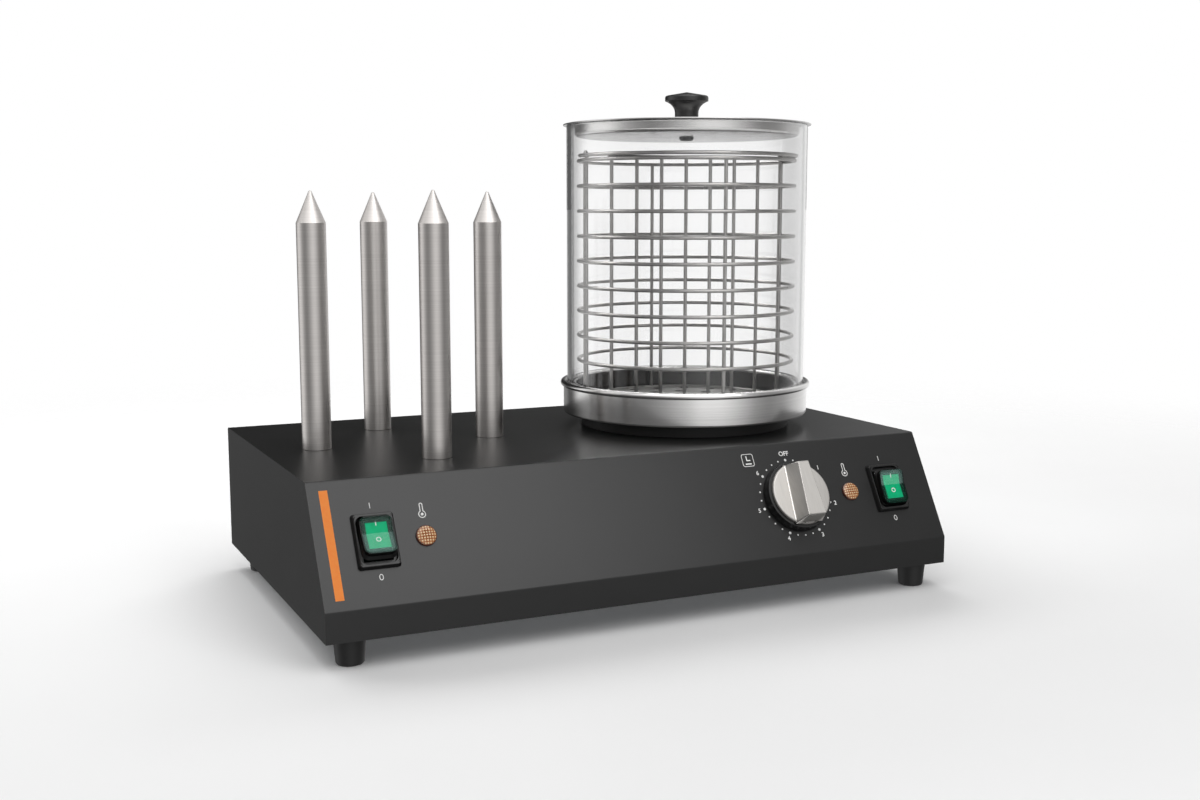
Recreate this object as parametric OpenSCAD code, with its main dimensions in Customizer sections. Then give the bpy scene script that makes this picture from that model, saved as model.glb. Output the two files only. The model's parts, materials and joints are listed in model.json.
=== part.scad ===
// Counter-top hot dog machine: four heated bun spikes beside a glass sausage steamer.
// Millimetres, +Z up. The origin lies on the floor under the middle of the housing.

/* [Housing] */
// Width of the housing
body_w = 500; // [470:1:600]
// Depth of the housing
body_d = 310; // [296:1:360]
// Height of the housing above its feet
body_h = 99; // [90:1:130]
// Height of the upright lip below the control panel
lip_h = 21; // [14:1:28]
// Run of the sloping control panel, from the lip back to the top
panel_run = 45; // [36:1:60]
// Thickness of the housing sheet
sheet_t = 1.5; // [1:0.1:2]
// Outside radius of the folds
fold_r = 2.5; // [2.2:0.1:4]
// Thickness of the base plate
base_t = 1.2; // [0.8:0.1:2]
// Width of the turned-in flange that carries the base plate
flange_w = 32; // [30:1:40]
// Vent slots in each row of the base plate
vent_count = 9; // [4:1:12]
// Distance between the vent slots
vent_pitch = 14; // [10:1:18]
// Length of a vent slot
vent_len = 60; // [30:1:80]
// Width of a vent slot
vent_w = 5; // [3:0.5:7]

/* [Feet] */
// Height of a foot
foot_h = 19; // [15:1:30]
// Diameter of a foot where it meets the base plate
foot_top_d = 22.4; // [20:0.2:26]
// Diameter of a foot at the floor
foot_base_d = 19; // [17:0.2:22]
// Radius of the lower edge of a foot
foot_edge_r = 1.8; // [0.8:0.1:2.2]
// Distance of a foot's axis from the side wall
foot_inset_x = 20; // [17:1:26]
// Distance of a front foot's axis from the lip
foot_inset_front = 16; // [15:1:26]
// Distance of a rear foot's axis from the rear wall
foot_inset_rear = 24; // [16:1:26]
// Depth of the screw recess in a foot
foot_recess = 8; // [6:0.5:11]

/* [Spikes] */
// Diameter of a spike
spike_d = 22; // [20:0.5:28]
// Length of the straight part of a spike
spike_len = 170; // [120:1:220]
// Length of the pointed end of a spike
spike_tip_len = 26; // [18:1:40]
// Radius of the blunted point
spike_tip_r = 1.4; // [0.8:0.1:2]
// Distance of the spike group's middle from the left wall
spike_from_side = 111; // [100:1:115]
// Half of the spike group's width
spike_half_x = 70; // [60:1:76]
// Half of the spike group's depth
spike_half_y = 75; // [60:1:80]
// Width of the shoulder that a spike stands on
spike_shoulder = 3; // [2:0.1:3.5]
// Length of the threaded spigot below the top
spigot_len = 24; // [20:1:32]
// Diameter of a heating cartridge
cartridge_d = 10; // [8:0.5:10.5]
// Metal left between the cartridge and the point
spike_cap = 12; // [6:1:30]

/* [Hot plate] */
// Distance of the steamer's axis from the right wall
unit_from_side = 141; // [130:1:150]
// Distance of the steamer's axis and of the spike group's middle from the rear wall
unit_from_rear = 136; // [120:1:145]
// Diameter of the hot plate
plate_d = 176; // [150:1:190]
// Height of the hot plate above the top
plate_h = 9.8; // [8:0.1:14]
// Width of the rim that rests on the top
plate_lip = 14; // [10:1:20]
// Depth of the plate's spigot below the top
plate_depth = 14; // [12:1:20]

/* [Glass and pan] */
// Outside diameter of the glass cylinder
glass_d = 200; // [170:1:220]
// Wall of the glass cylinder
glass_t = 3.5; // [3:0.1:5]
// Height of the glass cylinder
glass_h = 238; // [180:1:260]
// Thickness of the pan sheet
pan_t = 0.8; // [0.6:0.1:1.2]
// Height of the pan up to the middle of its rolled rim
pan_h = 25; // [20:0.5:40]
// Diameter of the pan's rolled rim
pan_rim_d = 5; // [4:0.1:7]
// Radius of the pan's lower corner
pan_corner_r = 2.2; // [1.4:0.1:2.4]
// Room between the glass and the pan's rim
rim_gap = 0.5; // [0.4:0.1:2]
// Height of the inner ring up to the middle of its rim
ring_h = 24; // [15:0.5:28]
// Diameter of the inner ring's rim
ring_rim_d = 3; // [2:0.1:4]
// Room between the inner ring and the glass
ring_gap = 1.4; // [0.5:0.1:3]

/* [Lid] */
// Thickness of the lid sheet
lid_t = 1; // [0.7:0.1:1.5]
// Depth of the dished middle of the lid
lid_depth = 9.3; // [6:0.1:12]
// How far the lid reaches past the glass
lid_overhang = 2.8; // [1:0.1:6]
// Room between the dished middle and the glass
lid_gap = 4.2; // [2:0.1:8]
// Diameter of the lid knob
lid_knob_d = 36; // [30:0.5:44]
// Diameter of the lid knob's neck
lid_knob_neck_d = 19.6; // [15:0.2:24]
// Height of the lid knob
lid_knob_h = 36; // [30:0.5:42]
// Height of the straight neck
lid_knob_neck_h = 19; // [12:0.5:20]
// Height of the flare between the neck and the edge
lid_knob_flare_h = 9.6; // [7:0.1:10]

/* [Basket] */
// Diameter of the basket wire
wire_d = 3; // [2:0.1:3.6]
// Diameter of the two posts that carry the handle
post_d = 4; // [3.6:0.1:5]
// Distance between the basket rings
ring_pitch = 20.6; // [15:0.1:30]
// Depth of the top ring below the upper edge of the glass
basket_drop = 28.9; // [26:0.1:40]
// Least height of a ring above the pan's floor
ring_low = 40; // [34:1:60]
// Room between the basket and the inner ring's rim
basket_gap = 0.6; // [0.4:0.1:3]
// Turn of the basket in the glass
basket_turn = -8.5; // [-20:0.5:20]
// Wires in the divider between the two posts
divider_wires = 7; // [3:2:9]
// Height of the basket floor above the pan's floor
floor_lift = 10; // [7:0.5:14]
// Thickness of the basket floor
floor_t = 1; // [0.8:0.1:1.5]
// Diameter of the steam holes in the basket floor
steam_hole_d = 9; // [6:0.5:10]
// Height of the handle's pivot above the top ring
handle_rise = 3.8; // [3.7:0.1:5]
// Reach of the handle's bow past the rings
handle_overhang = 1; // [0.8:0.1:1.8]

/* [Dial] */
// Distance of the dial from the right wall
dial_inset = 127; // [120:1:150]
// Diameter of the black skirt under the dial
skirt_d = 55; // [52:0.5:58]
// Height of the skirt
skirt_h = 6.5; // [6:0.1:9]
// Diameter of the metal cap
cap_d = 49; // [46:0.5:51.5]
// Thickness of the metal cap
cap_t = 3; // [2.4:0.1:4]
// Height of the grip bar above the cap
grip_h = 13; // [9:0.5:16]
// Width of the grip at its pointing end
grip_point_w = 9; // [6:0.5:12]
// Width of the grip at its other end
grip_tail_w = 15.5; // [10:0.5:16]
// Slope of the grip's flanks, as a width at each side
grip_flank = 4.2; // [2:0.1:5]
// Slope of the grip's ends, as a length at each end
grip_rake = 2; // [1:0.1:4]
// Diameter of the dial shaft
shaft_d = 6; // [5:0.5:7]

/* [Switches and lamps] */
// Distance of a switch from the nearer side wall
switch_inset = 41; // [36:1:44]
// Width of a switch frame
switch_w = 29.5; // [29:0.1:32]
// Height of a switch frame along the panel
switch_l = 38.6; // [38:0.1:42]
// How far a switch frame stands out of the panel
switch_rise = 4; // [3.6:0.1:5]
// Depth of a switch behind the panel
switch_depth = 24; // [18:1:30]
// Angle between the two positions of a rocker
rocker_throw = 14; // [10:1:16]
// Width of the clear cap over a rocker
boot_w = 22.6; // [21.6:0.1:23]
// Length of the clear cap over a rocker
boot_l = 27.6; // [26.6:0.1:28.4]
// Height of the clear cap above the panel at its crease
boot_h = 8.6; // [8:0.1:11]
// Distance of the crease above the middle of the cap
crease_up = 1.6; // [0:0.1:3]
// Thickness of the clear cap
boot_t = 1; // [0.8:0.1:1.4]
// Distance of a lamp from the nearer side wall
lamp_inset = 76.3; // [72:0.1:84]
// Diameter of a lamp lens
lens_d = 14.6; // [13.6:0.2:18]
// Height of a lamp lens
lens_h = 3; // [2.4:0.1:4]
// Distance between the grooves of a lens
lens_pitch = 1.9; // [1.5:0.1:2.5]

/* [Hidden] */
$fn = 96;
arc_steps = 6;
hex = 6;
eps = 1;

// Small clearances: a bolt in its hole, a cartridge or seat, a running shaft, a moving wire
hole_gap = 0.2;
seat_gap = 0.1;
run_gap = 0.05;
move_gap = 0.35;
weld = 0.3;

// Levels and edges of the housing
front_y = -body_d / 2;
rear_y = body_d / 2;
z0 = foot_h;
top_z = foot_h + body_h;
under_z = top_z - sheet_t;
flange_z = z0 + base_t;
floor_z = flange_z + sheet_t;
panel_rise = body_h - lip_h;
panel_tilt = atan2(panel_run, panel_rise);
unit_y = rear_y - unit_from_rear;
unit_x = body_w / 2 - unit_from_side;
spike_x = -body_w / 2 + spike_from_side;
switch_x = body_w / 2 - switch_inset;
lamp_x = body_w / 2 - lamp_inset;
dial_x = body_w / 2 - dial_inset;
recess_gap = 0.4;

// Screws
base_screw_d = 4;
base_head_d = 7.5;
base_head_h = 2;
foot_screw_d = 5;
foot_head_d = 9;
foot_head_h = 3;
screw_grip = 4;

// Spikes
spigot_d = spike_d - 2 * spike_shoulder;
cartridge_bore_d = cartridge_d + 2 * seat_gap;
cartridge_top = spike_len - spike_cap;
cartridge_head_h = 4;
washer_t = 1.6;
washer_lap = 7;
washer_d = spigot_d + 2 * washer_lap;
nut_h = 8;
nut_lap = 6;
nut_d = spigot_d + 2 * nut_lap;
lead_d = 2.4;
lead_len = 9;

// Hot plate
plate_r = plate_d / 2;
plate_hole_r = plate_r - plate_lip;
plate_gap = 0.5;
plate_spigot_r = plate_hole_r - plate_gap;
plate_wall = 5;
plate_under = 3;
plate_edge_r = 2;
plate_dimple_r = 30;
plate_dimple = 0.8;
boss_r = 9;
stud_d = 6;
stud_grip = 4.6;
cover_t = 1;
clamp_t = 3;
clamp_w = 22;
clamp_foot = 10;
clamp_r = 5;
plate_nut_d = 11.5;
plate_nut_h = 5;
element_d = 6.4;
element_inner_r = 28;
element_outer_r = 48;
element_rings = [element_inner_r, element_outer_r];
element_from = 290;
element_turn = 320;
element_pin_d = 4;
element_z = top_z + plate_under - element_d / 2 - seat_gap;

// Bimetal thermostats
thermostat_d = 16;
thermostat_h = 3;
thermostat_cap_d = 13;
thermostat_cap_h = 7;
thermostat_r = 38;
blade_w = 6.3;
blade_t = 0.8;
blade_len = 8;

// Steamer levels and radii
plate_top = top_z + plate_h;
pan_floor = plate_top + pan_t;
glass_r = glass_d / 2;
glass_bore_r = glass_r - glass_t;
glass_top = pan_floor + glass_h;
pan_r = glass_r + rim_gap + pan_rim_d / 2;
ring_r = glass_bore_r - ring_gap - ring_rim_d / 2;
basket_r = ring_r - ring_rim_d / 2 - basket_gap - wire_d / 2;

// Lid
lid_r = glass_r + lid_overhang;
dish_r = glass_bore_r - lid_gap;
dish_z = glass_top + lid_t - lid_depth;
dish_corner_r = 2.4;
lid_screw_d = 5;
lid_head_d = 12;
lid_head_h = 2.9;
lid_screw_grip = 14;
lid_knob_edge_h = 2.4;
lid_knob_edge_r = 1.8;
flare_turn = 68;

// Basket
top_ring_z = glass_top - basket_drop;
ring_count = 1 + floor((top_ring_z - pan_floor - ring_low) / ring_pitch);
post_r = basket_r - wire_d / 2 - post_d / 2 + weld;
stay_r = basket_r - wire_d + weld;
pivot_z = top_ring_z + handle_rise;
bow_r = basket_r + handle_overhang;
eye_wire_d = 2.4;
eye_r = wire_d / 2 + move_gap + eye_wire_d / 2;
pin_past = 1.3;
pin_reach = eye_wire_d / 2 + pin_past;
elbow_d = wire_d * 1.05;
basket_floor_r = post_r - post_d / 2 + weld;
floor_bead_d = 3;
steam_rows = 3;
steam_pitch = 23;
steam_step = 6;
divider_step = 2 * post_r / (divider_wires + 1);
divider_drop = 0.6;
divider_top_z = pivot_z - divider_drop;

// Dial
dial_gap = 0.8;
skirt_wall = 2.2;
skirt_taper = 0.8;
cap_z = dial_gap + skirt_h;
cap_face_z = cap_z + cap_t;
cap_edge_r = 1.2;
grip_len = cap_d - 2 * cap_edge_r;
grip_edge = 0.5;
shaft_bite = 7;
shaft_flat = 0.8;
bush_d = 10;
bush_len = 4.6;
bush_nut_d = 16;
bush_nut_h = 2.6;
regulator_w = 42;
regulator_depth = 28;
regulator_bore = 16;

// Switches
switch_corner_r = 2;
body_wall = 2;
window_w = 20;
window_l = 28;
switch_hole_gap = 0.4;
frame_edge = 0.8;
frame_bevel = 1.1;
boot_room_x = 0.4;
boot_room_y = 1.2;
boot_flare_x = 1;
boot_flare_y = 1.6;
boot_base_w = boot_w + 2 * boot_flare_x;
boot_base_l = boot_l + 2 * boot_flare_y;
boot_corner_r = 5;
boot_base_z = 3;
boot_floor_z = 0.6;
boot_edge = 3;
boot_groove = 0.3;
boot_skin = 0.5;
rocker_gap = 0.2;
rocker_w = 17.4;
rocker_l = 22;
rocker_corner_r = 1;
rocker_low_z = -9;
pivot_depth = 5;
pivot_pin_d = 3;
pivot_pin_bite = 1.6;

// Lamps
lamp_d = 10;
lamp_len = 24;
lamp_nut_d = 17;
lamp_nut_h = 4;
lens_rim_h = 1;
groove_depth = 0.55;

// Cable gland, terminal block and earth stud
gland_from_side = 70;
gland_height = 34;
gland_hex_d = 26;
gland_hex_h = 4.5;
gland_dome_d = 19;
gland_dome_h = 7;
gland_body_d = 16;
gland_body_len = 14;
gland_bore_d = 8.4;
gland_nut_h = 5;
block_from_rear = 62;
block_poles = 5;
block_pitch = 12;
block_w = 18;
block_h = 16;
block_hole_d = 4.2;
block_screw_d = 4.4;
block_screw_depth = 6;
earth_from_block = 62;
earth_d = 5;
earth_len = 18;
earth_nut_d = 9.2;
earth_nut_h = 4;

function unit(v) = v / norm(v);

// Points along the round corner b, on the way from a to c
function corner(a, b, c, r) =
    let (u = unit(a - b))
    let (v = unit(c - b))
    let (half = acos(u * v) / 2)
    let (centre = b + unit(u + v) * r / sin(half))
    let (from = b + u * r / tan(half) - centre)
    let (to = b + v * r / tan(half) - centre)
    let (start = atan2(from.y, from.x))
    let (turn = atan2(from.x * to.y - from.y * to.x, from * to))
    [for (i = [0:arc_steps]) centre + r * dir(start + turn * i / arc_steps)];

function dir(angle) = [cos(angle), sin(angle)];

// An open path with its inner corners rounded
function round_path(p, r) =
    let (last = len(p) - 1)
    [p[0], for (i = [1:last - 1]) each corner(p[i - 1], p[i], p[i + 1], r), p[last]];

// A path moved sideways, to the left of the way it runs
function left_of(a, b) = let (d = unit(b - a)) [-d.y, d.x];
function mitre(p, i) =
    let (a = max(i - 1, 0))
    let (b = min(i, len(p) - 2))
    let (n = left_of(p[a], p[a + 1]))
    let (m = left_of(p[b], p[b + 1]))
    (n + m) / (1 + n * m);
function beside(p, t) = [for (i = [0:len(p) - 1]) p[i] + t * mitre(p, i)];

// Outline of a sheet of thickness t that follows a path
function sheet(p, t) =
    let (q = beside(p, t))
    concat(p, [for (i = [len(q) - 1:-1:0]) q[i]]);

// Side outline of the housing, open at the height z
function housing_path(z) = round_path([
    [front_y, z],
    [front_y, z0 + lip_h],
    [front_y + panel_run, top_z],
    [rear_y, top_z],
    [rear_y, z]
], fold_r);

function foot_at(sx, sy) = [
    sx * (body_w / 2 - foot_inset_x),
    sy < 0 ? front_y + foot_inset_front : rear_y - foot_inset_rear
];
feet = [for (sy = [-1, 1], sx = [-1, 1]) foot_at(sx, sy)];

base_screws_at = [
    for (x = [-1, 0, 1], y = [front_y + flange_w / 2, rear_y - flange_w / 2]) [x * body_w / 3, y],
    for (x = [-1, 1]) [x * (body_w / 2 - flange_w / 2), 0]
];

spikes_at = [
    [spike_x - spike_half_x, unit_y],
    [spike_x, unit_y + spike_half_y],
    [spike_x, unit_y - spike_half_y],
    [spike_x + spike_half_x, unit_y]
];

gland_at = [body_w / 2 - gland_from_side, rear_y, z0 + gland_height];

// Shapes that several pieces share
module across(w) rotate([90, 0, 90]) linear_extrude(w, center = true) children();

module at_each(points) for (p = points) translate([p.x, p.y, 0]) children();

module in_steamer() translate([unit_x, unit_y, 0]) children();

module in_basket() in_steamer() rotate([0, 0, basket_turn]) children();

// Local z leaves the panel, local y runs up it, and the origin is half-way up
module on_panel(x)
    translate([x, front_y + panel_run / 2, z0 + lip_h + panel_rise / 2])
    rotate([90 - panel_tilt, 0, 0])
    children();

module rod(d, from, to) translate([0, 0, from]) cylinder(d = d, h = to - from);

module nut(d, h, bore_d) difference() {
    cylinder(d = d, h = h, $fn = hex);
    translate([0, 0, -eps]) cylinder(d = bore_d, h = h + 2 * eps);
}

module box(w, l, from, to) translate([-w / 2, -l / 2, from]) cube([w, l, to - from]);

// Plate with round corners, standing on the plane z = from
module round_box(w, l, r, from, to) translate([0, 0, from]) linear_extrude(to - from) {
    square([w - 2 * r, l], center = true);
    square([w, l - 2 * r], center = true);
    for (x = [-1, 1], y = [-1, 1]) translate([x * (w / 2 - r), y * (l / 2 - r)]) circle(r);
}

module slot(length, width) {
    end = [for (a = [-90:180 / arc_steps:90]) dir(a) * width / 2];
    half = (length - width) / 2;
    polygon([
        for (p = end) [half + p.x, p.y],
        for (p = end) [-half - p.x, -p.y]
    ]);
}

module torus(r, d) rotate_extrude() translate([r, 0]) circle(d = d);

module blade_pair(spread, z)
    for (x = [-1, 1]) translate([x * spread / 2, 0, 0]) box(blade_t, blade_w, z - blade_len, z);

// Housing and base
module housing_shell() color("#262626") difference() {
    across(body_w) polygon(housing_path(z0));
    across(body_w - 2 * sheet_t) polygon(beside(housing_path(floor_z), -sheet_t));
    box(body_w - 2 * sheet_t, body_d - 2 * sheet_t, z0 - eps, flange_z);
    box(body_w - 2 * flange_w, body_d - 2 * flange_w, z0 - eps, floor_z + eps);
    at_each(base_screws_at) rod(base_screw_d + hole_gap, z0, floor_z + eps);
    at_each(feet) rod(foot_screw_d + hole_gap, z0, floor_z + eps);
    at_each(spikes_at) rod(spigot_d + hole_gap, under_z - eps, top_z + eps);
    in_steamer() rod(2 * plate_hole_r, under_z - eps, top_z + eps);
    for (side = [-1, 1]) {
        on_panel(side * switch_x) switch_hole();
        on_panel(side * lamp_x) rod(lamp_d + hole_gap, -sheet_t - eps, eps);
    }
    on_panel(dial_x) rod(bush_d + hole_gap, -sheet_t - eps, eps);
    translate(gland_at) rotate([90, 0, 0]) rod(gland_body_d + hole_gap, -eps, sheet_t + eps);
}

module switch_hole() box(
    window_w + 2 * body_wall + switch_hole_gap,
    window_l + 2 * body_wall + switch_hole_gap,
    -sheet_t - eps,
    eps
);

module base_plate() color("#3a3a3a") difference() {
    box(body_w - 2 * (sheet_t + recess_gap), body_d - 2 * (sheet_t + recess_gap), z0, flange_z);
    at_each(base_screws_at) rod(base_screw_d + hole_gap, z0 - eps, flange_z + eps);
    at_each(feet) rod(foot_screw_d + hole_gap, z0 - eps, flange_z + eps);
    for (side = [-1, 1], i = [0:vent_count - 1])
        translate([side * body_w / 4, (i - (vent_count - 1) / 2) * vent_pitch, z0 - eps])
        linear_extrude(base_t + 2 * eps) slot(vent_len, vent_w);
}

module base_screws() color("silver") at_each(base_screws_at) {
    rod(base_head_d, z0 - base_head_h, z0);
    rod(base_screw_d, z0 - base_head_h / 2, floor_z + screw_grip);
}

// Feet
module foot(sx, sy) color("#1c1c1c") at_each([foot_at(sx, sy)]) rotate_extrude() polygon([
    [foot_screw_d / 2 + hole_gap / 2, foot_h],
    [foot_top_d / 2, foot_h],
    each corner([foot_top_d / 2, foot_h], [foot_base_d / 2, 0], [0, 0], foot_edge_r),
    [foot_head_d / 2 + hole_gap, 0],
    [foot_head_d / 2 + hole_gap, foot_recess],
    [foot_screw_d / 2 + hole_gap / 2, foot_recess]
]);

module foot_front_left() foot(-1, -1);
module foot_front_right() foot(1, -1);
module foot_rear_left() foot(-1, 1);
module foot_rear_right() foot(1, 1);

module foot_screws() color("silver") at_each(feet) {
    rod(foot_head_d, foot_recess - foot_head_h, foot_recess);
    rod(foot_screw_d, foot_recess - foot_head_h / 2, floor_z + screw_grip);
}

// Spikes, turned from bar and bored from below for their heating cartridges
module spike(p) color("#a8a29c") translate([p.x, p.y, top_z]) rotate_extrude() polygon([
    [cartridge_bore_d / 2, -sheet_t - spigot_len],
    [spigot_d / 2, -sheet_t - spigot_len],
    [spigot_d / 2, 0],
    [spike_d / 2, 0],
    [spike_d / 2, spike_len],
    each tip_arc(),
    [0, cartridge_top],
    [cartridge_bore_d / 2, cartridge_top]
]);

// The blunted point: the cone's side runs on into a ball
function tip_arc() =
    let (slope = atan2(spike_d / 2, spike_tip_len))
    let (ball_z = spike_len + spike_tip_len - spike_tip_r / sin(slope))
    [for (i = [0:arc_steps]) [0, ball_z] + spike_tip_r * dir(slope + (90 - slope) * i / arc_steps)];

module spike_left() spike(spikes_at[0]);
module spike_rear() spike(spikes_at[1]);
module spike_front() spike(spikes_at[2]);
module spike_right() spike(spikes_at[3]);

module spike_washers() color("silver") at_each(spikes_at) difference() {
    rod(washer_d, under_z - washer_t, under_z);
    rod(spigot_d + hole_gap, under_z - washer_t - eps, under_z + eps);
}

module spike_nuts() color("gold") at_each(spikes_at)
    translate([0, 0, under_z - washer_t - nut_h]) nut(nut_d, nut_h, spigot_d + hole_gap);

module spike_heaters() color("#8c8f94") at_each(spikes_at) {
    rod(cartridge_d, under_z - spigot_len, top_z + cartridge_top - seat_gap);
    rod(spigot_d, under_z - spigot_len - cartridge_head_h, under_z - spigot_len);
    for (x = [-1, 1]) translate([x * lead_d, 0, 0])
        rod(lead_d, under_z - spigot_len - lead_len, under_z - spigot_len - cartridge_head_h / 2);
}

// A bimetal switch that hangs with its flange against the plane z
module thermostat(z) {
    rod(thermostat_d, z - thermostat_h, z);
    rod(thermostat_cap_d, z - thermostat_h - thermostat_cap_h, z - thermostat_h / 2);
    blade_pair(thermostat_cap_d / 2, z - thermostat_h - thermostat_cap_h + blade_t);
}

module spike_thermostat() color("#6b4a2f") translate([spike_x, unit_y, 0]) thermostat(under_z);

// Hot plate with its element, cover and clamp
module hot_plate() color("#141414") in_steamer() translate([0, 0, top_z]) rotate_extrude() polygon([
    [0, plate_h - plate_dimple],
    [plate_dimple_r - plate_edge_r, plate_h - plate_dimple],
    [plate_dimple_r, plate_h],
    each corner([plate_dimple_r, plate_h], [plate_r, plate_h], [plate_r, 0], plate_edge_r),
    [plate_r, 0],
    [plate_spigot_r, 0],
    [plate_spigot_r, -plate_depth],
    [plate_spigot_r - plate_wall, -plate_depth],
    [plate_spigot_r - plate_wall, plate_under],
    [boss_r, plate_under],
    [boss_r, -plate_depth],
    [stud_d / 2 + seat_gap, -plate_depth],
    [stud_d / 2 + seat_gap, stud_grip + seat_gap],
    [0, stud_grip + seat_gap]
]);

element_ends = [for (r = element_rings, a = [0, element_turn]) r * dir(element_from + a)];

module plate_element() color("#5a4f48") in_steamer() {
    for (r = element_rings) translate([0, 0, element_z]) rotate([0, 0, element_from])
        rotate_extrude(angle = element_turn) translate([r, 0]) circle(d = element_d);
    at_each(element_ends) rod(element_pin_d, top_z - plate_depth - cover_t - lead_len, element_z);
}

module plate_cover() color("silver") in_steamer() difference() {
    rod(2 * plate_spigot_r, top_z - plate_depth - cover_t, top_z - plate_depth);
    rod(stud_d + hole_gap, top_z - plate_depth - cover_t - eps, top_z);
    at_each(element_ends)
        rod(element_pin_d + hole_gap, top_z - plate_depth - cover_t - eps, top_z);
}

clamp_leg = plate_hole_r + clamp_r;
clamp_end = clamp_leg + clamp_foot;
clamp_z = top_z - plate_depth - cover_t;
clamp_path = round_path([
    [-clamp_end, under_z],
    [-clamp_leg, under_z],
    [-clamp_leg, clamp_z],
    [clamp_leg, clamp_z],
    [clamp_leg, under_z],
    [clamp_end, under_z]
], clamp_r);

module plate_clamp() color("silver") in_steamer() difference() {
    rotate([90, 0, 0]) linear_extrude(clamp_w, center = true) polygon(sheet(clamp_path, -clamp_t));
    rod(stud_d + hole_gap, clamp_z - clamp_t - eps, clamp_z + eps);
}

module plate_stud() color("silver") in_steamer()
    rod(stud_d, clamp_z - clamp_t - plate_nut_h - screw_grip, top_z + stud_grip);

module plate_nut() color("gold") in_steamer()
    translate([0, 0, clamp_z - clamp_t - plate_nut_h]) nut(plate_nut_d, plate_nut_h, stud_d + hole_gap);

module plate_thermostat() color("#6b4a2f") in_steamer()
    translate([0, thermostat_r, 0]) thermostat(top_z - plate_depth - cover_t);

// Water pan with its rolled rim, and the ring that holds the glass on its inside
module water_pan() color("#c4c2be") in_steamer() rotate_extrude() {
    polygon(sheet(round_path([
        [0, plate_top],
        [pan_r, plate_top],
        [pan_r, plate_top + pan_h]
    ], pan_corner_r), pan_t));
    translate([pan_r, plate_top + pan_h]) circle(d = pan_rim_d);
}

module pan_ring() color("#d0cec9") in_steamer() rotate_extrude() {
    translate([ring_r - pan_t, pan_floor]) square([pan_t, ring_h]);
    translate([ring_r, pan_floor + ring_h]) circle(d = ring_rim_d);
}

module glass_cylinder() color("#dfe8ea", 0.3) in_steamer() difference() {
    rod(glass_d, pan_floor, glass_top);
    rod(2 * glass_bore_r, pan_floor - eps, glass_top + eps);
}

// Lid: a dished sheet, its knob and the screw that holds the knob
module lid_dish() color("#c8c6c2") in_steamer() rotate_extrude() polygon(sheet(
    round_path([
        [lid_screw_d / 2 + hole_gap, dish_z],
        [dish_r, dish_z],
        [dish_r, glass_top + lid_t],
        [lid_r, glass_top + lid_t]
    ], dish_corner_r),
    -lid_t
));

flare_z = lid_knob_neck_h + lid_knob_flare_h;
flare_r = (lid_knob_d - lid_knob_neck_d) / 2;
function flare(s) = [
    lid_knob_neck_d / 2 + flare_r * (1 - cos(s)) / (1 - cos(flare_turn)),
    lid_knob_neck_h + lid_knob_flare_h * sin(s) / sin(flare_turn)
];

module lid_knob() color("#161616") in_steamer() translate([0, 0, dish_z]) rotate_extrude() polygon([
    [lid_screw_d / 2 + seat_gap, 0],
    [lid_knob_neck_d / 2, 0],
    for (i = [0:arc_steps]) flare(flare_turn * i / arc_steps),
    each corner(
        [lid_knob_d / 2, flare_z],
        [lid_knob_d / 2, flare_z + lid_knob_edge_h + lid_knob_edge_r],
        [0, lid_knob_h],
        lid_knob_edge_r
    ),
    [0, lid_knob_h],
    [0, lid_screw_grip + seat_gap],
    [lid_screw_d / 2 + seat_gap, lid_screw_grip + seat_gap]
]);

module lid_screw() color("#1a1a1a") in_steamer() translate([0, 0, dish_z - lid_t]) rotate_extrude() polygon([
    [0, -lid_head_h],
    [lid_head_d / 2 - lid_head_h / 2, -lid_head_h],
    [lid_head_d / 2, -lid_head_h / 2],
    [lid_head_d / 2, 0],
    [lid_screw_d / 2, 0],
    [lid_screw_d / 2, lid_t + lid_screw_grip],
    [0, lid_t + lid_screw_grip]
]);

// Wire basket
module basket_rings() color("#9c958d") in_basket()
    for (i = [0:ring_count - 1]) translate([0, 0, top_ring_z - i * ring_pitch]) torus(basket_r, wire_d);

module basket_posts() color("#8f8880") in_basket() {
    for (x = [-1, 1]) translate([x * post_r, 0, 0]) {
        rod(post_d, pan_floor, pivot_z - eye_r);
        translate([0, 0, pivot_z]) rotate([0, 90, 0]) torus(eye_r, eye_wire_d);
    }
    for (y = [-1, 1]) translate([0, y * stay_r, 0]) rod(wire_d, pan_floor, top_ring_z);
}

module basket_divider() color("#958e86") in_basket() {
    span = (divider_wires - 1) / 2;
    for (i = [-span:span]) translate([i * divider_step, 0, 0])
        rod(wire_d, pan_floor + floor_lift, divider_top_z);
    translate([0, 0, divider_top_z]) rotate([0, 90, 0])
        rod(elbow_d, -span * divider_step - wire_d, span * divider_step + wire_d);
}

module basket_floor() color("#b5afa8") in_basket() translate([0, 0, pan_floor + floor_lift]) difference() {
    rotate_extrude() {
        translate([0, -floor_t]) square([basket_floor_r - floor_bead_d / 2, floor_t]);
        translate([basket_floor_r - floor_bead_d / 2, -floor_t / 2]) circle(d = floor_bead_d);
    }
    for (row = [0:steam_rows]) {
        holes = max(1, steam_step * row);
        for (i = [0:holes - 1]) rotate([0, 0, 360 * (i + 0.5) / holes]) translate([row * steam_pitch, 0, 0])
            rod(steam_hole_d, -floor_t - eps, eps);
    }
}

// The handle's bow lies on the front of the top ring, and its ends turn in through the posts' eyes
module basket_handle() color("#a39c94") in_basket() translate([0, 0, pivot_z]) {
    rotate([0, 0, 180]) rotate_extrude(angle = 180) translate([bow_r, 0]) circle(d = wire_d);
    for (x = [-1, 1]) {
        translate([x * bow_r, 0, 0]) sphere(d = elbow_d);
        rotate([0, x * 90, 0]) rod(wire_d, post_r - pin_reach, bow_r);
    }
}

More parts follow.
